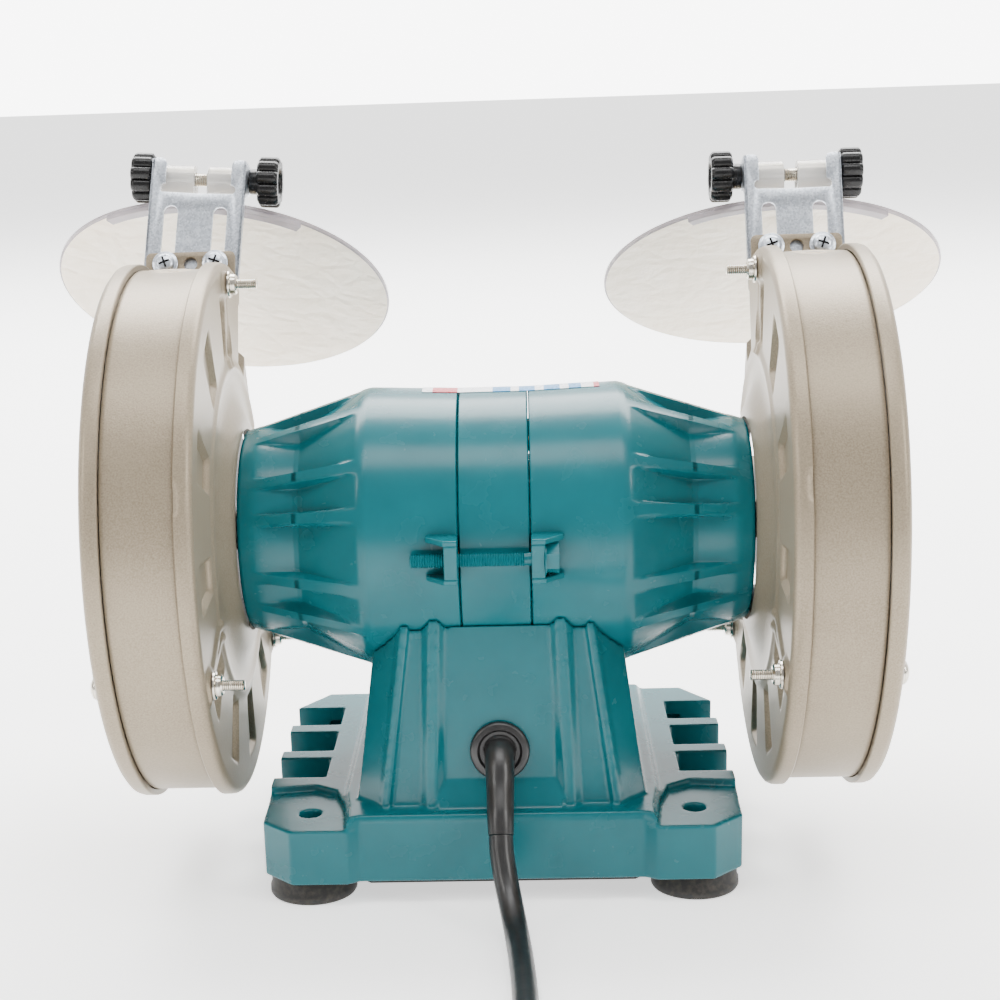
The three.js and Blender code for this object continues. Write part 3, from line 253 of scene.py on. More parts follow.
def film_with_painted_glow():
    n = Nodes("creased_film_painted_glow")
    folds = n.cells(58, "DISTANCE_TO_EDGE").outputs["Distance"]
    crease = n.ramp(folds, (0.0, (0, 0, 0)), (0.16, (1, 1, 1)))
    n.tone(n.noise(34, 4), (0.84, 0.72, 0.56), (0.90, 0.80, 0.66))
    n.rough(n.span(n.noise(120, 3), 0.34, 0.52))
    n.bump(n.noise(110, 4), 0.0022, 0.8)
    n.bump(crease, 0.0006, 0.5)
    n.set(Subsurface_Weight=0.0, Specular_IOR_Level=0.45)
    # The emission is painted light: a faint cream glow of the film's own, standing in for light coming
    # through the sheet.
    n.shader.inputs["Emission Color"].default_value = (0.92, 0.87, 0.80, 1)
    return n.set(Emission_Strength=0.12)


def clear_edge():
    n = Nodes("clear_sheet_edge")
    n.tone(n.noise(60, 2), (0.36, 0.33, 0.37), (0.48, 0.44, 0.48))
    n.rough(n.span(n.noise(80, 2), 0.08, 0.18))
    return n.set(Transmission_Weight=0.35, IOR=1.49, Alpha=0.85)


def clear_plastic():
    n = Nodes("clear_plastic")
    n.tone(n.noise(90, 2), (0.86, 0.85, 0.83), (0.93, 0.92, 0.90))
    n.rough(n.span(n.noise(120, 2), 0.06, 0.15))
    return n.set(Transmission_Weight=0.55, IOR=1.49, Alpha=0.8)


def grit():
    n = Nodes("grinding_grit")
    n.color(n.ramp(n.noise(1400, 2), (0.35, (0.12, 0.125, 0.135)), (0.7, (0.42, 0.43, 0.45))))
    n.rough(n.span(n.noise(1400, 2), 0.8, 0.98))
    n.bump(n.noise(1400, 2), 0.0006, 0.7)
    return n.material


def enamelled_wire():
    n = Nodes("enamelled_wire")
    n.tone(n.noise(700, 2, (1, 1, 6)), (0.28, 0.09, 0.03), (0.55, 0.22, 0.08))
    n.rough(n.span(n.noise(300, 2), 0.3, 0.5))
    n.bump(n.noise(700, 2, (1, 1, 6)), 0.0004, 0.6)
    return n.set(Metallic=0.7)


STICKER_X = (-45, 30)
STICKER_TURN = (84, 99)


def sticker_paint():
    """Generic bands along X: red ends and blue blocks on a white field."""
    n = Nodes("sticker")
    split = n.tree.nodes.new("ShaderNodeSeparateXYZ")
    n.link(n.place, split.inputs["Vector"])
    across = n.tree.nodes.new("ShaderNodeMapRange")
    across.inputs["From Min"].default_value = mm(STICKER_X[0], 0, 0).x
    across.inputs["From Max"].default_value = mm(STICKER_X[1], 0, 0).x
    n.link(split.outputs["X"], across.inputs["Value"])
    white, red, blue = (0.84, 0.85, 0.87), (0.62, 0.05, 0.07), (0.03, 0.24, 0.52)
    bands = n.ramp(across.outputs["Result"], (0.0, red), (0.03, white), (0.10, blue), (0.17, white),
                   (0.22, blue), (0.31, white), (0.36, blue), (0.45, white), (0.50, blue),
                   (0.60, white), (0.80, red), (0.94, white))
    bands.node.color_ramp.interpolation = "CONSTANT"
    n.color(bands)
    n.rough(n.span(n.noise(300, 2), 0.22, 0.34))
    return n.material


TEAL = enamel()
GUARD = guard_paint()
ZINC = zinc()
STEEL = bright_steel("turned_steel", (0.36, 0.35, 0.34), (0.62, 0.61, 0.59))
NICKEL = bright_steel("plated_screw", (0.42, 0.38, 0.31), (0.72, 0.68, 0.60), 0.2)
BLACK = black_plastic()
RUBBER = rubber()
JACKET = cord_jacket()
FILM_PAINTED_GLOW = film_with_painted_glow()
EDGE = clear_edge()
CLEAR = clear_plastic()
GRIT = grit()
WIRE = enamelled_wire()
STICKER = sticker_paint()


# ------------------------------------------------------------------ mesh tools
def sharpen(mesh, degrees=32):
    work = bmesh.new()
    work.from_mesh(mesh)
    bmesh.ops.recalc_face_normals(work, faces=work.faces)
    for face in work.faces:
        face.smooth = True
    for edge in work.edges:
        edge.smooth = len(edge.link_faces) == 2 and edge.calc_face_angle(0) < math.radians(degrees)
    work.to_mesh(mesh)
    work.free()


def piece(name, points, faces, material, body, nodes=(), sharp=32):
    """A new object from points in mm about the shaft; it replaces the named CAD nodes."""
    mesh = bpy.data.meshes.new(name)
    mesh.from_pydata([mm(*p) for p in points], [], faces)
    mesh.validate()
    sharpen(mesh, sharp)
    return settle(bpy.data.objects.new(name, mesh), material, body, nodes)


def settle(thing, material, body, nodes=()):
    if thing.name not in bpy.context.scene.collection.objects:
        bpy.context.scene.collection.objects.link(thing)
    if material:
        thing.data.materials.clear()
        thing.data.materials.append(material)
    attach(thing, body)
    if nodes:
        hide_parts(*nodes)
    return thing


def grid_faces(rows, columns, wrap_rows=False, wrap_columns=False, start=0):
    faces = []
    for i in range(rows if wrap_rows else rows - 1):
        for k in range(columns if wrap_columns else columns - 1):
            a = start + i * columns + k
            b = start + i * columns + (k + 1) % columns
            c = start + ((i + 1) % rows) * columns + (k + 1) % columns
            d = start + ((i + 1) % rows) * columns + k
            faces.append((a, b, c, d))
    return faces


class Solid:
    """Points and faces gathered from several shapes into one mesh."""

    def __init__(self):
        self.points = []
        self.faces = []

    def add(self, points, faces, move=None):
        start = len(self.points)
        self.points += [tuple(move @ Vector(p)) if move else tuple(p) for p in points]
        self.faces += [tuple(start + i for i in face) for face in faces]
        return self

    def lathe(self, profile, steps=96, move=None):
        """Turned about X; the profile's points are (radius, x), closed when it ends where it starts."""
        closed = profile[0] == profile[-1]
        loop = profile[:-1] if closed else profile
        points = []
        for i in range(steps):
            turn = 2 * math.pi * i / steps
            points += [(x, r * math.cos(turn), r * math.sin(turn)) for r, x in loop]
        return self.add(points, grid_faces(steps, len(loop), True, closed), move)

    def prism(self, outline, low, high, move=None):
        """An outline in the first two axes, drawn out along the third."""
        count = len(outline)
        points = [(x, y, low) for x, y in outline] + [(x, y, high) for x, y in outline]
        faces = [(i, (i + 1) % count, count + (i + 1) % count, count + i) for i in range(count)]
        faces += [tuple(reversed(range(count))), tuple(range(count, 2 * count))]
        return self.add(points, faces, move)

    def tube(self, path, radii, sides=16, move=None, closed_ends=True):
        frames = sweep_frames(path)
        points = []
        for (spot, across, over), radius in zip(frames, radii):
            for k in range(sides):
                turn = 2 * math.pi * k / sides
                points.append(spot + across * radius * math.cos(turn) + over * radius * math.sin(turn))
        faces = grid_faces(len(path), sides, False, True)
        if closed_ends:
            last = (len(path) - 1) * sides
            faces += [tuple(reversed(range(sides))), tuple(range(last, last + sides))]
        return self.add(points, faces, move)

    def make(self, name, material, body, slot, nodes=(), sharp=32, bevel=0.0, segments=2):
        made = piece(name, self.points, self.faces, material, body, nodes, sharp)
        if bevel:
            add_bevel(made, bevel, segments)
        return made


def sweep_frames(path):
    path = [Vector(p) for p in path]
    frames = []
    over = Vector((0, 0, 1))
    for i, spot in enumerate(path):
        ahead = (path[min(i + 1, len(path) - 1)] - path[max(i - 1, 0)]).normalized()
        if abs(ahead.dot(over)) > 0.95 and i == 0:
            over = Vector((0, 1, 0))
        across = ahead.cross(over).normalized()
        over = across.cross(ahead).normalized()
        frames.append((spot, across, over))
    return frames


def add_bevel(thing, width, segments=2, degrees=30):
    bevel = thing.modifiers.new("edges", "BEVEL")
    bevel.width = width / 1000
    bevel.segments = segments
    bevel.limit_method = "ANGLE"
    bevel.angle_limit = math.radians(degrees)
    bevel.harden_normals = True
    bevel.use_clamp_overlap = True


def soften(thing, voxel, rounds):
    """Melts a casting's edges: an even skin, then a few rounds of smoothing."""
    remesh = thing.modifiers.new("skin", "REMESH")
    remesh.mode = "VOXEL"
    remesh.voxel_size = voxel / 1000
    remesh.use_smooth_shade = True
    smoothing = thing.modifiers.new("soft", "SMOOTH")
    smoothing.factor = 0.5
    smoothing.iterations = rounds


def keep(node, material, bevel=0.0, segments=2):
    """A CAD node whose shape is right: its seams are welded, its edges eased, its finish set."""
    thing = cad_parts[node]
    thing.data.materials.clear()
    thing.data.materials.append(material)
    weld = thing.modifiers.new("weld", "WELD")
    weld.merge_threshold = 0.000002
    if bevel:
        add_bevel(thing, bevel, segments)
    return thing


def mirrored(profile, side):
    """A lathe profile on the side's own half of X."""
    return [(radius, side * x) for radius, x in profile]


def ring(inner, outer, low, high):
    """The closed lathe profile of a plain ring."""
    return [(inner, low), (outer, low), (outer, high), (inner, high), (inner, low)]


def circle(radius, steps, x=0.0, y=0.0, start=0.0):
    return [(x + radius * math.cos(math.radians(start) + 2 * math.pi * i / steps),
             y + radius * math.sin(math.radians(start) + 2 * math.pi * i / steps)) for i in range(steps)]


def arc(radius, start, end, steps, x=0.0, y=0.0):
    return [(x + polar(radius, mix(start, end, i / steps))[0],
             y + polar(radius, mix(start, end, i / steps))[1]) for i in range(steps + 1)]


def plate(name, outline, holes, thick, bevel, move, material, body, nodes=()):
    """A flat sheet with holes and rounded edges: a filled curve, drawn out to its thickness."""
    curve = bpy.data.curves.new(name, "CURVE")
    curve.dimensions = "2D"
    curve.fill_mode = "BOTH"
    curve.extrude = (thick / 2 - bevel) / 1000
    curve.bevel_depth = bevel / 1000
    curve.bevel_resolution = 2
    curve.offset = -bevel / 1000
    for edge in (outline, *holes):
        spline = curve.splines.new("POLY")
        spline.points.add(len(edge) - 1)
        spline.use_cyclic_u = True
        for point, (x, y) in zip(spline.points, edge):
            point.co = (x / 1000, y / 1000, 0, 1)
    flat = bpy.data.objects.new(name + "_flat", curve)
    bpy.context.scene.collection.objects.link(flat)
    bpy.context.view_layer.update()
    mesh = bpy.data.meshes.new_from_object(flat.evaluated_get(bpy.context.evaluated_depsgraph_get()))
    bpy.data.objects.remove(flat)
    scale = Matrix.Scale(1000, 4)
    mesh.transform(Matrix.Translation(AXIS) @ Matrix.Scale(0.001, 4) @ move @ scale)
    work = bmesh.new()
    work.from_mesh(mesh)
    bmesh.ops.remove_doubles(work, verts=work.verts, dist=0.000002)
    work.to_mesh(mesh)
    work.free()
    sharpen(mesh, 40)
    return settle(bpy.data.objects.new(name, mesh), material, body, nodes)


def rotation(degrees, axis):
    return Matrix.Rotation(math.radians(degrees), 4, axis)


# Outlines drawn as (y, z) or (x, z) are turned so that the third axis is X or Y.
ALONG_X = Matrix(((0, 0, 1, 0), (1, 0, 0, 0), (0, 1, 0, 0), (0, 0, 0, 1)))
ALONG_Y = Matrix(((1, 0, 0, 0), (0, 0, -1, 0), (0, 1, 0, 0), (0, 0, 0, 1)))
# A lathe's axis, turned from X to Y.
LATHE_TO_Y = Matrix(((0, 1, 0, 0), (1, 0, 0, 0), (0, 0, 1, 0), (0, 0, 0, 1)))

# ------------------------------------------------------------------ cord
CORD_RADIUS = 5
CORD_FLOOR = -AXIS_HEIGHT + CORD_RADIUS + 0.1
CORD_POINTS = (
    (0, 83.7, -111.7),
    (-0.2, 86.6, -116.8),
    (-0.9, 89.8, -122),
    (-1.9, 93.6, -127.4),
    (-3.1, 98.2, -132.4),
    (-4.3, 103.8, -136.8),
    (-5.4, 110.4, -140.1),
    (-6.3, 118, -142),
    (-7.1, 127, CORD_FLOOR),
    (-7.9, 140, CORD_FLOOR),
    (-8.7, 155, CORD_FLOOR),
    (-9.2, 172, CORD_FLOOR),
    (-9.4, 190, CORD_FLOOR),
    (-9.2, 206, CORD_FLOOR),
    (-8.6, 219, CORD_FLOOR),
    (-8, 231, CORD_FLOOR),
    (-8, 254, CORD_FLOOR),
)
COIL_CENTRE = (-68, 277)
COIL_OUTER = 60
COIL_TURNS = 4.25
COIL_STEPS = 24
PLUG_NECK_X = -106
PLUG_RISE = 18.5


def coil_points():
    """Two turns inwards on the floor, then a little over two outwards on top of them."""
    points = []
    for i in range(int(COIL_TURNS * COIL_STEPS) + 1):
        turns = i / COIL_STEPS
        radius = COIL_OUTER - 10 * turns if turns < 2 else COIL_OUTER - 20 + 10.1 * (turns - 2)
        height = mix(CORD_FLOOR, CORD_FLOOR + 10.2, smooth(1.82, 2.04, turns))
        x, y = polar(radius, 360 * turns)
        points.append((COIL_CENTRE[0] + x, COIL_CENTRE[1] + y, height))
    return points


def catmull(points, steps):
    points = [Vector(p) for p in points]
    path = []
    for i in range(len(points) - 1):
        a, b = points[max(i - 1, 0)], points[i]
        c, d = points[i + 1], points[min(i + 2, len(points) - 1)]
        for k in range(steps):
            t = k / steps
            path.append(0.5 * (2 * b + (c - a) * t + (2 * a - 5 * b + 4 * c - d) * t * t
                               + (3 * b - a - 3 * c + d) * t * t * t))
    return path + [points[-1]]


def add_cord():
    coil = coil_points()
    end_y = coil[-1][1]
    plug_height = -AXIS_HEIGHT + PLUG_RISE
    tail = [(-80, end_y, mix(coil[-1][2], plug_height, 0.25)),
            (-92, end_y, mix(coil[-1][2], plug_height, 0.8)),
            (PLUG_NECK_X + 4, end_y, plug_height), (PLUG_NECK_X - 4, end_y, plug_height)]
    path = catmull([*CORD_POINTS, *coil, *tail], 3)
    curve = bpy.data.curves.new("power_cord_line", "CURVE")
    curve.dimensions = "3D"
    curve.bevel_depth = CORD_RADIUS / 1000
    curve.bevel_resolution = 5
    curve.use_fill_caps = True
    spline = curve.splines.new("POLY")
    spline.points.add(len(path) - 1)
    for point, spot in zip(spline.points, path):
        point.co = (*mm(*spot), 1)
    cord = settle(bpy.data.objects.new("power_cord_line", curve), JACKET, "stand",
                  ("power_cord", "cord_coil"))
    plug = add_plug(end_y)
    tie = add_tie()


def add_plug(y):
    """A moulded round two-pin plug with a ribbed neck, lying beside the coil."""
    body = Solid()
    neck = [(5.3, 0), (6.2, 1.5)]
    for i in range(6):
        start = 4 + i * 4.6
        neck += [(6.4 + i * 0.35, start), (6.4 + i * 0.35, start + 2.8), (5.5 + i * 0.35, start + 3.2),
                 (5.5 + i * 0.35, start + 4.2)]
    head = [(8.6, 34), (12, 39.5), (16, 43.5), (18, 46), (18.4, 48), (18.4, 53), (17.9, 53.6), (17.9, 55),
            (18.4, 55.6), (18.4, 66), (17.6, 67.6), (16.4, 68), (0.01, 68)]
    move = Matrix.Translation((PLUG_NECK_X, y, -AXIS_HEIGHT + PLUG_RISE)) @ Matrix.Scale(-1, 4, (1, 0, 0))
    body.lathe([(0.01, 0), *neck, *head], 48, move)
    plug = body.make("plug_body", BLACK, "stand", "rubber", ("plug",), 50)
    pins = Solid()
    for across in (-9.5, 9.5):
        pin = [(0.01, 67), (2.4, 67), (2.4, 84.5), (1.9, 86.4), (0.9, 87), (0.01, 87)]
        pins.lathe(pin, 24, move @ Matrix.Translation((0, across, 0)))
    metal = pins.make("plug_pins", NICKEL, "stand", "steel")
    metal.parent = plug
    return plug


def add_tie():
    """A twist tie round the coil's turns."""
    tie = Solid()
    middle_y = COIL_CENTRE[1] + 51
    half_y, half_z = 17.2, 10.6
    centre_z = -AXIS_HEIGHT + 10.3
    loop = []
    for i in range(40):
        turn = 2 * math.pi * i / 40
        y = middle_y - 1 + half_y * max(-1, min(1, 1.25 * math.cos(turn)))
        z = centre_z + (half_z - 0.4) * max(-1, min(1, 1.35 * math.sin(turn)))
        loop.append((y, z))
    rows = []
    for x in (-71, -65):
        for grow in (0, 0.9):
            for y, z in loop:
                away = Vector((y - middle_y, z - centre_z)).normalized() * grow
                rows.append((x, y + away.x, max(z + away.y, -AXIS_HEIGHT + 0.05)))
    count = len(loop)
    faces = []
    for i in range(count):
        j = (i + 1) % count
        for a, b in ((0, 1), (1, 3), (3, 2), (2, 0)):
            faces.append((a * count + i, a * count + j, b * count + j, b * count + i))
    tie.add(rows, faces)
    return tie.make("coil_tie", BLACK, "stand", "rubber", (), 50)


# ------------------------------------------------------------------ motor
SEAM = 14.8
SHOULDER = 53
CREASE = 82
BELL_END = 107
START_RADIUS = 58.8
SHOULDER_RADIUS = 60.3
END_RADIUS = 42.8
POCKET_RADIUS = 45
RIB_REPEATS = 7
RIB_PAIR_CENTRE = 27.3
RIB_OFFSET = 10
RIB_HALF = 2.75
LUG_Y = 65


def cone_radius(x):
    return mix(SHOULDER_RADIUS, END_RADIUS, (x - SHOULDER) / (BELL_END - SHOULDER))


def pocket_radius(x):
    steep = mix(cone_radius(SHOULDER + 3), POCKET_RADIUS, (x - SHOULDER - 3) / (CREASE - SHOULDER - 3))
    return min(cone_radius(x), max(steep, POCKET_RADIUS))


def rib_share(angle):
    """1 on a rib's crown and 0 in a pocket."""
    repeat = 360 / RIB_REPEATS
    off = (angle - RIB_PAIR_CENTRE + repeat / 2) % repeat - repeat / 2
    near = abs(abs(off) - RIB_OFFSET)
    return 1 - smooth(RIB_HALF - 0.1, RIB_HALF + 1.0, near)


def bell_angles():
    steps = 4 * 360 // 3
    return [360 * i / steps for i in range(steps)]


def add_bell(name, side):
    stations = [SEAM, SEAM + 0.5, 20, 30, 40, SHOULDER - 1.2, SHOULDER - 0.4, SHOULDER + 0.5, SHOULDER + 1.6]
    stations += [SHOULDER + 3 + i * 1.3 for i in range(22)]
    stations += [CREASE - 0.6, CREASE + 0.6, 84, 87, 90, 93, 96, 99, 101, 103, 105, BELL_END - 0.6, BELL_END]
    angles = bell_angles()
    shell = Solid()
    points = []
    for angle in angles:
        share = rib_share(angle)
        for x in stations:
            if x <= SHOULDER:
                radius = mix(START_RADIUS, SHOULDER_RADIUS, (x - SEAM) / (SHOULDER - SEAM))
            else:
                radius = mix(pocket_radius(x), cone_radius(x), share)
            if x in (SEAM, BELL_END):
                radius -= 0.6
            if x == SHOULDER - 0.4:
                radius -= 0.08
            if x == SHOULDER + 0.5:
                radius -= 0.12
            y, z = polar(radius, angle)
            points.append((side * x, y, z))
        for radius, x in ((12, BELL_END), (12, BELL_END - 8), (54, BELL_END - 14), (54, SEAM)):
            y, z = polar(min(radius, 36) if x > CREASE else radius, angle)
            points.append((side * x, y, z))
    shell.add(points, grid_faces(len(angles), len(points) // len(angles), True, True))
    bell = shell.make(f"bell_shell_{name}", TEAL, "stand", "teal_paint", (f"end_bell_{name}",), 42)
    lugs = Solid()
    for rear in (-1, 1):
        add_lug(lugs, side, rear)
    made = lugs.make(f"bell_lugs_{name}", TEAL, "stand", "teal_paint", (), 30, 0.7, 3)
    made.parent = bell


def add_lug(lugs, side, rear):
    """The cast ear that a through bolt passes: a plate across it and two wings along it."""
    start, thick, wing = SEAM, 5.6, 7.6
    foot, top = START_RADIUS - 3, LUG_Y + 5.5
    profile = [(start, foot), (start + thick + wing, foot), (start + thick + wing, START_RADIUS + 3),
               (start + thick, top), (start, top)]
    for low in (-9.2, 6.8):
        outline = [(side * x, rear * y) for x, y in profile]
        lugs.prism(outline, low, low + 2.4)
    outline = [(side * start, rear * foot), (side * (start + thick), rear * foot),
               (side * (start + thick), rear * top), (side * start, rear * top)]
    lugs.prism(outline, -7, 7)


def add_stator():
    """The visible band of the motor's middle, with a fine seam at each side."""
    shell = Solid()
    shell.lathe([(START_RADIUS - 0.9, -14.5), (START_RADIUS, -13.9), (START_RADIUS, 13.9),
                 (START_RADIUS - 0.9, 14.5), (31, 14.5), (31, -14.5), (START_RADIUS - 0.9, -14.5)], 180)
    shell.make("stator_shell", TEAL, "stand", "teal_paint", ("stator_core",), 40)


def add_through_bolts():
    for name, rear in (("rear", 1), ("front", -1)):
        bolt = Solid()
        seat = 20.7
        move = Matrix.Translation((0, rear * LUG_Y, 0))
        thread = [(0.01, seat + 13.4), (2.2, seat + 13.4)]
        for i in range(44):
            x = seat + 13 - i * 1.05
            thread += [(3.0, x), (2.45, x - 0.52)]
        thread += [(2.9, -16), (2.9, -seat)]
        bolt.lathe(thread, 28, move)
        head = circle(6.1, 6, 0, 0, 30)
        bolt.prism(head, -seat - 5.2, -seat - 0.2, move @ ALONG_X)
        bolt.lathe(ring(2.9, 6.8, -seat - 0.2, -seat + 0.4), 32, move)
        bolt.make(f"through_bolt_{name}_threaded", TEAL, "stand", "teal_paint", (f"through_bolt_{name}",), 30)


def add_sticker():
    """A thin generic label laid round the motor's top, over the seams."""
    sheet = Solid()
    columns, rows = 60, 24
    points = []
    for i in range(rows + 1):
        angle = mix(*STICKER_TURN, i / rows)
        for k in range(columns + 1):
            x = mix(*STICKER_X, k / columns)
            away = abs(x) - SEAM
            lift = mix(START_RADIUS, SHOULDER_RADIUS, max(0, away) / (SHOULDER - SEAM))
            y, z = polar(lift + 0.28, angle)
            points.append((x, y, z))
    sheet.add(points, grid_faces(rows + 1, columns + 1))
    label = sheet.make("motor_sticker", STICKER, "stand", "teal_paint", (), 60)
    thick = label.modifiers.new("thickness", "SOLIDIFY")
    thick.thickness = 0.00022
    thick.offset = -1


# ------------------------------------------------------------------ guards
GUARD_FACE = 112.8
GUARD_RADIUS = 115
GUARD_WALL = 2.4
LIP_END = 120
BAND_RADIUS = 112.3
COVER_LIP = 149
COVER_FACE = 158
OPENING_TOP = 115
OPENING_BOTTOM = -145
MOUTH_DEPTH = -60
MOUTH_HALF = 40
MOUTH_CORNER = 97
MOUTH_FAR = -165
MOUTH_REACH = 14
SCREW_CIRCLE = 105.6
SCREW_ANGLES = (92.7, -22.5, -137.7)
PANEL_REPEAT = 30
PANEL_FROM = 24
PANEL_WIDE = 10.5
PANEL_DEEP = 2.4
FLARE = 5.5
NOTCH_ANGLE = 18.7


def flare_height(radius):
    return FLARE * (1 - smooth(END_RADIUS + 1, 67, radius)) ** 1.6


def face_height(radius, angle):
    """How far the guard's inner face stands towards the motor, from its flat level."""
    ridge = 1.1 * math.exp(-((radius - 70) / 2.6) ** 2)
    off = (angle - PANEL_FROM) % PANEL_REPEAT
    across = min(off, PANEL_WIDE - off) * math.radians(1) * radius
    along = min(radius - 75, 102 - radius)
    panel = -PANEL_DEEP * smooth(-0.9, 1.1, across) * smooth(-0.6, 2.2, along)
    boss = 0.0
    y, z = polar(radius, angle)
    for screw in SCREW_ANGLES:
        sy, sz = polar(SCREW_CIRCLE, screw)
        gap = math.hypot(y - sy, z - sz)
        boss = max(boss, 1.5 * (1 - smooth(4.6, 9.0, gap)))
        drift = abs((angle - screw + 180) % 360 - 180)
        spine = drift * math.radians(1) * radius
        if 70 < radius < SCREW_CIRCLE:
            boss = max(boss, 1.1 * (1 - smooth(0.8, 3.4, abs(spine - 3.2 * (1 - (radius - 70) / 38)))))
    level = flare_height(radius) + ridge + boss
    return level + max(panel, boss - PANEL_DEEP) if panel < -0.01 else level


def cut_mouth(thing, side, middle):
    """Takes the work opening out of a sheet near X = middle, with crisp edges."""
    low, top = polar(GUARD_RADIUS, OPENING_BOTTOM), polar(GUARD_RADIUS + 20, OPENING_TOP)
    outline = [top, polar(MOUTH_CORNER, OPENING_TOP), (MOUTH_DEPTH, MOUTH_HALF),
               (MOUTH_DEPTH, -MOUTH_HALF), low, (MOUTH_FAR, low[1]), (MOUTH_FAR, top[1])]
    shape = Solid().prism(outline, side * middle - MOUTH_REACH, side * middle + MOUTH_REACH, ALONG_X)
    mesh = bpy.data.meshes.new(thing.name + "_mouth")
    mesh.from_pydata([mm(*p) for p in shape.points], [], shape.faces)
    sharpen(mesh)
    tool = bpy.data.objects.new(thing.name + "_mouth", mesh)
    bpy.context.scene.collection.objects.link(tool)
    boolean = thing.modifiers.new("mouth", "BOOLEAN")
    boolean.operation = "DIFFERENCE"
    boolean.solver = "EXACT"
    boolean.object = tool
    bpy.context.view_layer.update()
    cut = bpy.data.meshes.new_from_object(thing.evaluated_get(bpy.context.evaluated_depsgraph_get()))
    thing.modifiers.remove(boolean)
    thing.data = cut
    bpy.data.objects.remove(tool)
    sharpen(cut, 40)


def add_inner_guard(name, side):
    angles = [i * 0.75 for i in range(480)]
    radii = [END_RADIUS + 1 + i * 1.0 for i in range(68)]
    lip = GUARD_FACE - LIP_END
    rim = [(GUARD_RADIUS - 3.6, 0), (GUARD_RADIUS - 2, -0.35), (GUARD_RADIUS - 0.8, -1.2),
           (GUARD_RADIUS - 0.15, -2.6), (GUARD_RADIUS, -4.0), (GUARD_RADIUS, lip + 0.4),
           (GUARD_RADIUS - 0.4, lip), (GUARD_RADIUS - GUARD_WALL, lip), (GUARD_RADIUS - GUARD_WALL, -3.6)]
    points = []
    for angle in angles:
        for radius in radii:
            y, z = polar(radius, angle)
            points.append((side * (GUARD_FACE - face_height(radius, angle)), y, z))
        near_notch = abs(angle - NOTCH_ANGLE) * math.radians(1) * GUARD_RADIUS < 5
        for radius, back in rim:
            dip = 1.0 if near_notch and back < -6 and radius > GUARD_RADIUS - 1 else 0.0
            y, z = polar(radius - dip, angle)
            points.append((side * (GUARD_FACE - back), y, z))
        for radius in (102, 75, 60, END_RADIUS + 1):
            y, z = polar(radius, angle)
            back = -3.6 if radius > 60 else flare_height(radius) - 3.4
            points.append((side * (GUARD_FACE - back), y, z))
    shell = Solid().add(points, grid_faces(len(angles), len(points) // len(angles), True, True))
    guard = shell.make(f"guard_plate_{name}", GUARD, "stand", "guard_paint", (f"inner_guard_{name}",), 40)
    cut_mouth(guard, side, GUARD_FACE)


def add_outer_cover(name, side):
    """A dished cover: its lip, a rounded edge, a shallow raised ring and a domed middle."""
    inside = COVER_FACE - 2.2
    face = [(0.01, 0.2), (20, 0.3), (26, 1.6), (60, 1.8), (66, 0.2), (86, 0), (92, 0), (96, 1.2),
            (110.5, 1.2), (113, 1.7), (114.5, 2.9), (GUARD_RADIUS, 4.6)]
    profile = [(radius, COVER_FACE - back) for radius, back in face]
    profile += [(GUARD_RADIUS, COVER_LIP + 0.4), (GUARD_RADIUS - 0.4, COVER_LIP),
                (BAND_RADIUS + 0.3, COVER_LIP), (BAND_RADIUS + 0.3, inside - 1.4),
                (110, inside - 1.6), (0.01, inside - 1.6)]
    shell = Solid().lathe(mirrored(profile, side), 240)
    cover = shell.make(f"cover_plate_{name}", GUARD, "stand", "guard_paint", (f"outer_cover_{name}",), 40)
    cut_mouth(cover, side, COVER_FACE)


BAND_IN = LIP_END + 0.3
BAND_OUT = COVER_LIP - 0.3
BAND_CENTRE = (BAND_IN + BAND_OUT) / 2
TAB_TOP = 127
TAB_HOLE_DROP = 5.6
CLAMP_RADIUS = TAB_TOP - TAB_HOLE_DROP
TAB_WIDTH = 40
HOLE_PITCH = 11.2


def tab_frame(side):
    """Places a piece drawn between the clamp screws: z up the plate, y to the rear."""
    y, z = polar(CLAMP_RADIUS, OPENING_TOP)
    return Matrix.Translation((side * BAND_CENTRE, y, z)) @ rotation(OPENING_TOP - 90, "X")


EMBLEM_POINTS = ((-4, -4.5), (-9, 1), (0, 6.5), (9, 1), (4, -4.5), (-4, -4.5))


def emblem(x, angle):
    """A shallow raised five-sided outline pressed in the band: 1 on its lines."""
    along = (angle - 90) * math.radians(1) * BAND_RADIUS
    best = 9.0
    for (x1, a1), (x2, a2) in zip(EMBLEM_POINTS, EMBLEM_POINTS[1:]):
        px, pa = x - x1, along - a1
        ex, ea = x2 - x1, a2 - a1
        share = max(0, min(1, (px * ex + pa * ea) / (ex * ex + ea * ea)))
        best = min(best, math.hypot(px - share * ex, pa - share * ea))
    return 1 - smooth(0.25, 0.9, best)


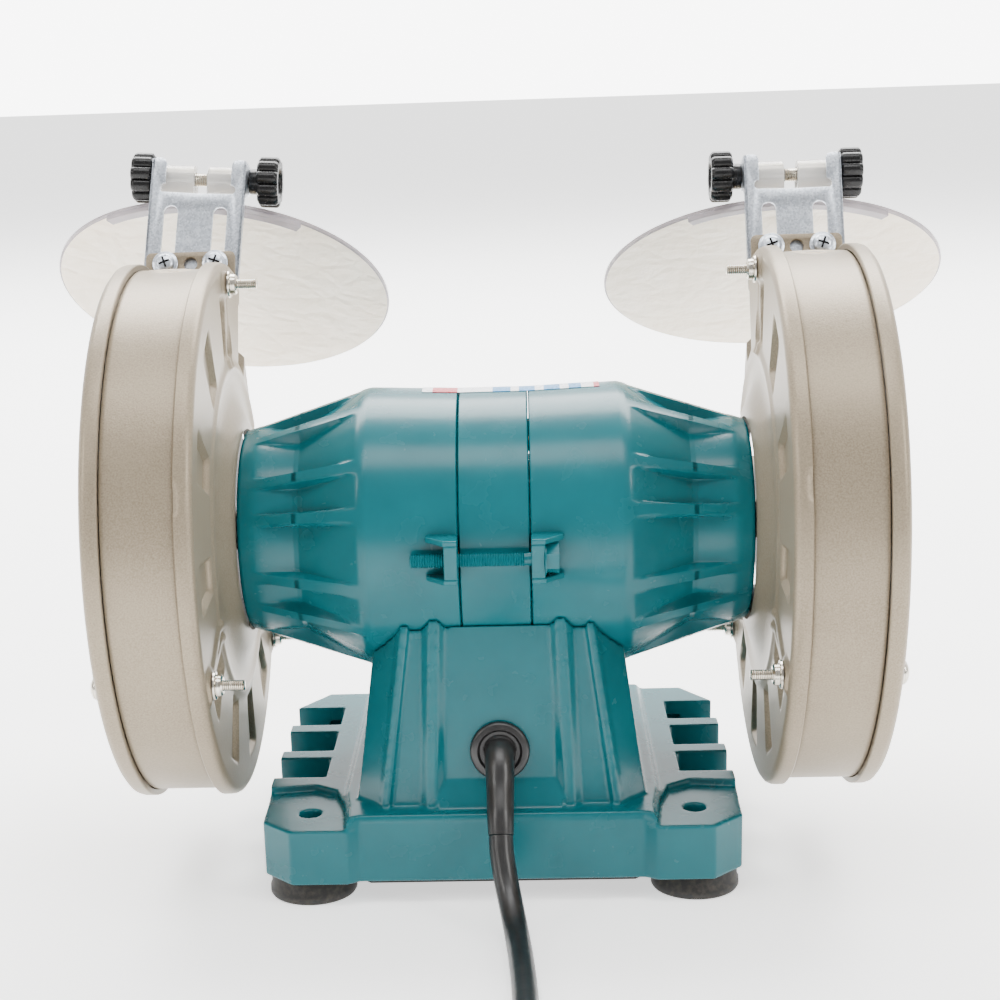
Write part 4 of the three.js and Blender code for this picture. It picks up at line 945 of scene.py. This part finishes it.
def add_band(name, side):
    start, end = OPENING_BOTTOM + 0.4, OPENING_TOP - 0.2
    angles = [mix(start, 60, i / 240) for i in range(240)] + [mix(60, end, i / 300) for i in range(301)]
    columns = [BAND_IN, BAND_IN + 0.4, *(BAND_IN + 2 + i * 0.62 for i in range(40)),
               BAND_OUT - 0.4, BAND_OUT]
    points = []
    for angle in angles:
        for i, x in enumerate(columns):
            raised = 0.45 * emblem(x - BAND_CENTRE, angle) if angle > 70 else 0
            edge = -0.25 if i in (0, len(columns) - 1) else 0
            y, z = polar(BAND_RADIUS + raised + edge, angle)
            points.append((side * x, y, z))
        for x in (BAND_OUT, BAND_IN):
            y, z = polar(BAND_RADIUS - 2, angle)
            points.append((side * x, y, z))
    count = len(points) // len(angles)
    faces = grid_faces(len(angles), count, False, True)
    last = (len(angles) - 1) * count
    faces += [tuple(range(count)), tuple(reversed(range(last, last + count)))]
    band = Solid().add(points, faces).make(f"band_strip_{name}", GUARD, "stand", "guard_paint",
                                           (f"guard_band_{name}",), 40)
    root = BAND_RADIUS - 2 - CLAMP_RADIUS
    shoulder = GUARD_RADIUS + 1.2 - CLAMP_RADIUS
    narrow, half = (BAND_OUT - BAND_IN) / 2, TAB_WIDTH / 2
    outline = [(-narrow, root), (narrow, root), (narrow, shoulder), (half, shoulder)]
    outline += arc(2.6, 0, 90, 6, half - 2.6, TAB_HOLE_DROP - 2.6)
    outline += arc(2.6, 90, 180, 6, 2.6 - half, TAB_HOLE_DROP - 2.6)
    outline += [(-half, shoulder), (-narrow, shoulder)]
    holes = [circle(3, 28, step * HOLE_PITCH) for step in (-1, 0, 1)]
    move = tab_frame(side) @ Matrix.Translation((0, 1, 0)) @ ALONG_Y
    tab = plate(f"band_tab_{name}", outline, holes, 2, 0.35, move, GUARD, "stand")
    tab.parent = band


def screw_profile(start, end, radius, pitch):
    """A threaded rod's profile along X, from start to end."""
    profile = []
    x = start
    while x < end:
        profile += [(radius, x), (radius - 0.32, x + pitch / 2)]
        x += pitch
    return profile


def add_cover_screws(name, side):
    for place, angle in zip(("top", "rear", "front"), SCREW_ANGLES):
        y, z = polar(SCREW_CIRCLE, angle)
        move = Matrix.Translation((0, y, z))
        screw = Solid()
        tip = GUARD_FACE - 14
        seat = GUARD_FACE - 1.7
        thread = [(0.01, tip), (1.7, tip), *screw_profile(tip + 0.4, seat - 3.6, 2.2, 0.8),
                  (0.01, seat - 3.4)]
        nut = [(0.01, seat - 3.8), (3.4, seat - 3.8), (4.2, seat - 3.1), (4.4, seat - 1.2),
               (5.6, seat - 0.9), (5.8, seat - 0.2), (0.01, seat - 0.2)]
        top = COVER_FACE - 0.9
        head = [(0.01, top - 3), (4.9, top - 0.2), (4.9, top + 0.6), (4.3, top + 1.6),
                (2.6, top + 2.5), (0.01, top + 2.7)]
        for profile, steps in ((thread, 20), (nut, 24), (head, 28)):
            screw.lathe(mirrored(profile, side), steps, move)
        screw.make(f"cover_screw_{place}_{name}_threaded", NICKEL, "stand", "zinc",
                   (f"cover_screw_{place}_{name}",), 40)


# ------------------------------------------------------------------ shields
SLIDE_UP = {"right": 6.4, "left": 0}
SKEW = {"right": -4, "left": 0}
SHIELD_TILT = {"right": 34.9, "left": 30.3}
PLATE_THICK = 1.5
PLATE_FRONT = -0.3 - PLATE_THICK
PLATE_HALF = 21.5
PLATE_RISE = 27.6
PLATE_LOW = PLATE_RISE - 46.5
PIVOT_FORWARD = 10
PIVOT_Y = PLATE_FRONT + PLATE_THICK / 2 - PIVOT_FORWARD
PIVOT_Z = 38.2
EAR_WIDTH = 5
EAR_RADIUS = 6.8
SLOT_WIDTH = 6.2
SLOT_LENGTH = 34.6
SLOT_DROP = 6


def bracket_frame(name, side):
    return tab_frame(side) @ rotation(SKEW[name], "Y") @ Matrix.Translation((0, 0, SLIDE_UP[name]))


def pivot_frame(name, side):
    turn = rotation(SHIELD_TILT[name] - (OPENING_TOP - 90), "X")
    return bracket_frame(name, side) @ Matrix.Translation((0, PIVOT_Y, PIVOT_Z)) @ turn


def add_bracket(name, side):
    """The slotted sheet plate with its two flanges folded forward to carry the pivot."""
    half, ear, top = PLATE_HALF, PLATE_HALF - EAR_WIDTH - 1.6, PIVOT_Z + EAR_RADIUS - 1
    relief = 2.3
    right = [(half - 2, PLATE_LOW), (half, PLATE_LOW + 2), (half, top - 2.4), (half - 0.5, top - 0.8),
             (half - 2, top), (ear + 2.4, top), (ear + 0.8, top - 0.6), (ear, top - 2.2),
             (ear, PLATE_RISE + relief * 2), *arc(relief, 90, -60, 8, ear, PLATE_RISE + relief)]
    outline = right + [(0, PLATE_RISE)] + [(-x, y) for x, y in reversed(right)]
    slots = []
    for step in (-1, 1):
        r, x = SLOT_WIDTH / 2, step * HOLE_PITCH
        high = PLATE_RISE - SLOT_DROP - r
        slots.append(arc(r, 0, 180, 10, x, high) + arc(r, 180, 360, 10, x, high - SLOT_LENGTH + SLOT_WIDTH))
    move = bracket_frame(name, side)
    flat = plate(f"bracket_plate_{name}", outline, slots, PLATE_THICK, 0.3,
                 move @ Matrix.Translation((0, (PLATE_FRONT - 0.3) / 2, 0)) @ ALONG_Y, ZINC,
                 f"bracket_{name}", (f"shield_bracket_{name}",))
    head = arc(EAR_RADIUS, 90, 270, 14, PIVOT_Y, PIVOT_Z)
    fold = PLATE_FRONT - 2.4
    flange = [(-0.3, top - 0.4), *head, (fold, PIVOT_Z - EAR_RADIUS - 4), (fold, PLATE_LOW + 8),
              (PLATE_FRONT, PLATE_LOW + 3), (-0.3, PLATE_LOW + 3)]
    bore = circle(3.3, 24, PIVOT_Y, PIVOT_Z)
    for step in (-1, 1):
        spot = Matrix.Translation((step * (half - PLATE_THICK / 2), 0, 0))
        place = "in" if step < 0 else "out"
        wing = plate(f"bracket_flange_{name}_{place}", flange, [bore], PLATE_THICK, 0.3,
                     move @ spot @ ALONG_X, ZINC, f"bracket_{name}")
        wing.parent = flat


def add_clamp_screws(name, side):
    move = tab_frame(side)
    washers, screws = Solid(), Solid()
    strip = PLATE_FRONT - 0.3
    seat = 2.3
    for step in (-1, 1):
        spot = move @ Matrix.Translation((step * HOLE_PITCH, 0, 0)) @ LATHE_TO_Y
        washer = [(2.6, seat), (5.6, seat), (5.75, seat + 0.2), (5.75, seat + 0.9), (5.5, seat + 1.1),
                  (2.6, seat + 1.1), (2.6, seat)]
        washers.lathe(washer, 36, spot)
        dome = [(0.01, seat + 1.0), (4.5, seat + 1.0), (4.45, seat + 1.9), (4.0, seat + 2.7),
                (3.0, seat + 3.35), (1.6, seat + 3.6), (0.01, seat + 3.65)]
        screws.lathe(dome, 32, spot)
        screws.lathe([(0.01, strip - 6), (2.4, strip - 6), (2.4, seat + 1.2), (0.01, seat + 1.2)], 20, spot)
    bar = [(-HOLE_PITCH - 5, -4), (HOLE_PITCH + 5, -4), (HOLE_PITCH + 5, 4), (-HOLE_PITCH - 5, 4)]
    washers.prism(bar, -strip, 3 - strip, move @ ALONG_Y)
    base = washers.make(f"clamp_washers_{name}", ZINC, "stand", "zinc", (f"bracket_screws_{name}",), 40)
    heads = screws.make(f"clamp_heads_{name}", ZINC, "stand", "zinc", (), 40)
    heads.parent = base
    # Painted shade: black bars laid across each zinc dome stand in for the shade inside a cross recess, which
    # is not cut.
    slots = Solid()
    for step in (-1, 1):
        spot = move @ Matrix.Translation((step * HOLE_PITCH, seat + 3.35, 0)) @ rotation(20 * step, "Y")
        for turn in (0, 90):
            bar = [(-2.6, -0.45), (2.6, -0.45), (2.6, 0.45), (-2.6, 0.45)]
            slots.prism(bar, -0.4, 0.4, spot @ rotation(turn, "Y") @ ALONG_Y)
    painted_cross_shade = slots.make(f"clamp_crosses_{name}", BLACK, "stand", "zinc", (), 40)
    painted_cross_shade.parent = base


SHIELD_RADIUS = 81
SHIELD_BEHIND = 2.5
SHIELD_DROP = 12.8
SHEET_THICK = 2.2
RIM_HALF = 34
CRINKLE = {"right": 0.16, "left": 0.07}


def crease_wave(x, y):
    """An uneven ripple over the film."""
    slow = math.sin(0.41 * x + 1.7 * math.sin(0.23 * y)) * math.sin(0.37 * y + 1.3 * math.sin(0.29 * x))
    return abs(slow + 0.6 * math.sin(0.83 * x - 0.57 * y + 2 * math.sin(0.19 * x)))


def add_shield(name, side):
    """The clear sheet, its film on both faces, its rim strip and the knuckles on the pivot."""
    move = pivot_frame(name, side)
    body = f"shield_{name}"
    centre = SHIELD_BEHIND - SHIELD_RADIUS
    low = -SHIELD_DROP - SHEET_THICK / 2
    sheet = Solid()
    edge = [(SHIELD_RADIUS - 0.5, low), (SHIELD_RADIUS, low + 0.4), (SHIELD_RADIUS, low + SHEET_THICK - 0.4),
            (SHIELD_RADIUS - 0.5, low + SHEET_THICK), (SHIELD_RADIUS - 3, low + SHEET_THICK),
            (SHIELD_RADIUS - 3, low), (SHIELD_RADIUS - 0.5, low)]
    to_z = Matrix(((0, 1, 0, 0), (0, 0, 1, centre), (1, 0, 0, 0), (0, 0, 0, 1)))
    sheet.lathe(edge, 160, move @ to_z)
    pane = sheet.make(f"shield_sheet_{name}", EDGE, body, "clear_plastic", (f"eye_shield_{name}",), 40)
    film = Solid()
    steps, rings = 144, 56
    points, faces = [], []
    for level, sign in ((low - 0.12, -1), (low + SHEET_THICK + 0.12, 1)):
        start = len(points)
        for k in range(rings + 1):
            radius = (SHIELD_RADIUS - 0.9) * k / rings
            for i in range(steps):
                x, y = polar(radius, 360 * i / steps)
                lift = CRINKLE[name] * crease_wave(x, y) if k < rings else 0
                points.append((x, y + centre, level + sign * lift))
        faces += grid_faces(rings + 1, steps, False, True, start)
    edge_low = rings * steps
    edge_high = len(points) // 2 + edge_low
    faces += [(edge_low + i, edge_low + (i + 1) % steps, edge_high + (i + 1) % steps, edge_high + i)
              for i in range(steps)]
    film.add(points, faces, move)
    cover = film.make(f"shield_film_{name}", FILM_PAINTED_GLOW, body, "clear_plastic", (), 60)
    cover.parent = pane
    rim = Solid()
    outer = arc(SHIELD_RADIUS + 0.2, 90 - RIM_HALF, 90 + RIM_HALF, 48, 0, centre)
    inner = arc(SHIELD_RADIUS - 4.6, 90 + RIM_HALF, 90 - RIM_HALF, 48, 0, centre)
    rim.prism(outer + inner, low - 2.3, low + 0.3, move)
    strip = rim.make(f"shield_rim_{name}", EDGE, body, "clear_plastic", (), 40, 0.5)
    strip.parent = pane
    knuckles = Solid()
    for step in (-1, 1):
        near, far = step * 3, step * 18
        barrel = [(3.4, near), (5.9, near), (6.25, near + step * 0.4), (6.25, far - step * 0.4),
                  (5.9, far), (3.4, far), (3.4, near)]
        knuckles.lathe(barrel, 48, move)
        arm = [(-6.05, 0), (6.05, 0), (1.8, low + SHEET_THICK - 0.5), (-11, low + SHEET_THICK - 0.5)]
        knuckles.prism(arm, min(near, far), max(near, far), move @ ALONG_X)
    arms = knuckles.make(f"shield_knuckles_{name}", CLEAR, body, "clear_plastic", (), 40)
    arms.parent = pane
    liner = Solid()
    for step in (-1, 1):
        liner.lathe(ring(3.3, 4.7, step * 3.2, step * 17.8), 36, move)
    bright = liner.make(f"shield_bushes_{name}", NICKEL, body, "steel", (), 40)
    bright.parent = pane


KNOB_RADIUS = 11.3
KNOB_THICK = 9.6
KNOB_HUB = 4.2


def knob_points(start, end, side):
    """Ten rounded lobes with eased ends and a recessed middle."""
    count = 200
    stations = [(start, 0.88), (start + 0.9, 0.985), (start + 1.8, 1.0), (end - 1.8, 1.0), (end - 0.9, 0.985),
                (end, 0.9), (end, 0.62), (end - 0.6, 0.56), (end - 1.4, 0.54)]
    points = []
    for i in range(count):
        turn = 2 * math.pi * i / count
        wave = abs(math.sin(5 * turn)) ** 0.6
        lobe = KNOB_RADIUS - 1.9 + 1.9 * wave
        for x, share in stations:
            radius = lobe * share if share > 0.7 else KNOB_RADIUS * share
            points.append((side * x, radius * math.cos(turn), radius * math.sin(turn)))
        points.append((side * (end - 1.5), 3.6 * math.cos(turn), 3.6 * math.sin(turn)))
        points.append((side * start, 3.4 * math.cos(turn), 3.4 * math.sin(turn)))
    return points, grid_faces(count, len(stations) + 2, True, True)


def add_knobs(name, side):
    move = pivot_frame(name, side)
    start = PLATE_HALF + 0.3
    outer = Solid().add(*knob_points(start, start + KNOB_THICK, side), move)
    outer.make(f"knob_lobed_outer_{name}", BLACK, f"outer_knob_{name}", "black_plastic",
               (f"knob_outer_{name}",), 38)
    inner = Solid().add(*knob_points(start + KNOB_HUB, start + KNOB_HUB + KNOB_THICK, -side), move)
    end = start + KNOB_HUB + 0.4
    hub = [(3.4, start), (5.4, start), (5.6, start + 0.5), (5.8, end), (3.4, end), (3.4, start)]
    inner.lathe(mirrored(hub, -side), 48, move)
    inner.make(f"knob_lobed_inner_{name}", BLACK, f"inner_knob_{name}", "black_plastic",
               (f"knob_inner_{name}",), 38)
    bolt = Solid()
    low, high = -(start + KNOB_HUB + KNOB_THICK - 3), start + KNOB_THICK - 2
    rod = [(0.01, low), *screw_profile(low, high - 0.4, 3, 0.9), (0.01, high)]
    bolt.lathe(mirrored(rod, side), 24, move)
    bolt.make(f"pivot_rod_{name}", NICKEL, f"outer_knob_{name}", "steel", (f"pivot_bolt_{name}",), 40)


# ------------------------------------------------------------------ base, feet and gland
def add_base():
    casting = keep("base_casting", TEAL)
    soften(casting, 0.8, 3)


def add_feet():
    for place in ("rear_right", "rear_left", "front_right", "front_left"):
        low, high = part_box(f"foot_{place}")
        x = ((low.x + high.x) / 2 - AXIS.x) * 1000
        y = ((low.y + high.y) / 2 - AXIS.y) * 1000
        top = (high.z - AXIS.z) * 1000
        bottom = -AXIS_HEIGHT
        foot = Solid()
        profile = [(4.8, top), (17.3, top), (17.8, top - 0.6), (18.0, bottom + 4.4),
                   (18.6, bottom + 3.6), (18.7, bottom + 1.2), (18.1, bottom + 0.2), (17.4, bottom),
                   (4.8, bottom), (4.8, top)]
        upright = Matrix(((0, 0, 1, x), (0, 1, 0, y), (1, 0, 0, 0), (0, 0, 0, 1)))
        foot.lathe(profile, 64, upright)
        foot.make(f"foot_moulded_{place}", RUBBER, "stand", "rubber", (f"foot_{place}",), 40)


GLAND_Z = -84
NECK_LEAN = math.atan2(10, 80.5)
SLEEVE_END = (0, 83.5, -111.4)


def neck_rear(z):
    return mix(50, 60, (z + 28) / -80.5)


def add_gland():
    """The grommet and its tapered sleeve, bent down to the cord's direction."""
    lean = Matrix.Translation((0, neck_rear(GLAND_Z), GLAND_Z)) @ Matrix.Rotation(NECK_LEAN, 4, "X")
    gland = Solid()
    flange = [(0.01, -6), (7.6, -6), (7.6, 0.3), (12.2, 0.3), (12.5, 0.8), (12.5, 2.2), (12.1, 3.1),
              (11.2, 3.6), (9.4, 3.8), (8.8, 3.2), (8.4, 2.6), (0.01, 2.6)]
    gland.lathe(flange, 64, lean @ LATHE_TO_Y)
    y = neck_rear(GLAND_Z) + 0.3
    spine = [(0, y + 1.2, GLAND_Z), (0, y + 5, GLAND_Z - 0.8), (0, y + 9.5, GLAND_Z - 4.4),
             (0, y + 14.5, GLAND_Z - 11.5), (0, SLEEVE_END[1] - 4, SLEEVE_END[2] + 6.93), SLEEVE_END]
    path = catmull(spine, 8)
    shares = [i / (len(path) - 1) for i in range(len(path))]
    radii = [mix(7.4, 5.25, share ** 0.5) if share > 0.06 else 7.4 for share in shares]
    gland.tube(path, radii, 40)
    gland.make("cord_gland", JACKET, "stand", "rubber", ("cord_grommet",), 50)


# ------------------------------------------------------------------ everything else
def finish_kept_nodes():
    for name, _ in SIDES:
        keep(f"wheel_{name}", GRIT, 1.2)
        for place in ("inner", "outer"):
            keep(f"{place}_flange_{name}", STEEL, 0.3)
        keep(f"wheel_nut_{name}", ZINC, 0.5)
        keep(f"bearing_{name}", STEEL)
        keep(f"tool_rest_{name}", GUARD, 0.8, 3)
        keep(f"tool_rest_bolt_{name}", ZINC, 0.4)
    keep("shaft", STEEL, 0.3)
    keep("rotor_core", STEEL)
    keep("stator_winding", WIRE)
    keep("capacitor", BLACK, 0.6)
    keep("base_plate", BLACK, 0.3)
    keep("switch_body", BLACK, 0.5, 3)
    keep("rocker_switch", BLACK, 0.6, 3)


# ------------------------------------------------------------------ stage
FLOOR_HALF = 60
ROOM_GLOW = 0.6
SWEEP_GLOW = 3.0
SEEN_GLOW = 8.0
FLOOR_GLOW = 1.1


def add_floor():
    mesh = bpy.data.meshes.new("floor")
    corners = [(x * FLOOR_HALF, y * FLOOR_HALF, 0) for x, y in ((-1, -1), (1, -1), (1, 1), (-1, 1))]
    mesh.from_pydata(corners, [], [(0, 1, 2, 3)])
    floor = bpy.data.objects.new("floor", mesh)
    n = Nodes("pale_floor")
    n.tone(n.noise(3, 2), (0.93, 0.93, 0.925), (0.95, 0.95, 0.945))
    n.rough(n.span(n.noise(5, 2), 0.75, 0.85))
    n.shader.inputs["Emission Color"].default_value = (1, 1, 1, 1)
    n.shader.inputs["Emission Strength"].default_value = FLOOR_GLOW
    mesh.materials.append(n.set(Specular_IOR_Level=0.0))
    bpy.context.scene.collection.objects.link(floor)


def add_light(name, spot, target, size, power, color=(1, 1, 1)):
    data = bpy.data.lights.new(name, "AREA")
    data.shape = "RECTANGLE"
    data.size, data.size_y = size
    data.energy = power
    data.color = color
    light = bpy.data.objects.new(name, data)
    light.location = spot
    light.rotation_euler = (Vector(target) - Vector(spot)).to_track_quat("-Z", "Y").to_euler()
    bpy.context.scene.collection.objects.link(light)


def add_light_setup():
    """A bright sweep behind the grinder, a dim room behind the camera and soft boxes. What the
    camera sees past the floor is brighter than what lights the grinder."""
    world = bpy.data.worlds.new("studio")
    world.use_nodes = True
    tree = world.node_tree
    place = tree.nodes.new("ShaderNodeTexCoord")
    split = tree.nodes.new("ShaderNodeSeparateXYZ")
    sweep = tree.nodes.new("ShaderNodeMapRange")
    sweep.interpolation_type = "SMOOTHSTEP"
    sweep.inputs["From Min"].default_value = 0.25
    sweep.inputs["From Max"].default_value = -0.75
    sweep.inputs["To Min"].default_value = ROOM_GLOW
    sweep.inputs["To Max"].default_value = SWEEP_GLOW
    tree.links.new(place.outputs["Generated"], split.inputs["Vector"])
    tree.links.new(split.outputs["Y"], sweep.inputs["Value"])
    background = tree.nodes["Background"]
    background.inputs["Color"].default_value = (1, 1, 1, 1)
    seen = tree.nodes.new("ShaderNodeLightPath")
    choose = tree.nodes.new("ShaderNodeMix")
    tree.links.new(seen.outputs["Is Camera Ray"], choose.inputs["Factor"])
    tree.links.new(sweep.outputs["Result"], choose.inputs["A"])
    choose.inputs["B"].default_value = SEEN_GLOW
    tree.links.new(choose.outputs["Result"], background.inputs["Strength"])
    bpy.context.scene.world = world
    middle = (0, AXIS.y, 0.15)
    add_light("top", (0, 0.55, 1.7), middle, (1.3, 0.5), 9)
    add_light("rear_left", (1.5, 1.0, 1.15), middle, (0.35, 0.9), 11, (1, 0.985, 0.96))
    add_light("rear_right", (-1.5, 1.0, 1.15), middle, (0.35, 0.9), 16, (1, 0.985, 0.96))
    add_light("sweep", (0, -1.6, 2.2), (0, -1.3, 0), (3.2, 1.6), 260)
    add_light("foreground", (0, 0.9, 2.4), (0, 0.7, 0), (2.4, 0.8), 24)


add_camera()
add_cord()
add_stator()
add_through_bolts()
add_sticker()
for side_name, side_sign in SIDES:
    add_bell(side_name, side_sign)
    add_inner_guard(side_name, side_sign)
    add_outer_cover(side_name, side_sign)
    add_band(side_name, side_sign)
    add_cover_screws(side_name, side_sign)
    add_bracket(side_name, side_sign)
    add_clamp_screws(side_name, side_sign)
    add_shield(side_name, side_sign)
    add_knobs(side_name, side_sign)
add_base()
add_feet()
add_gland()
finish_kept_nodes()
add_floor()
add_light_setup()
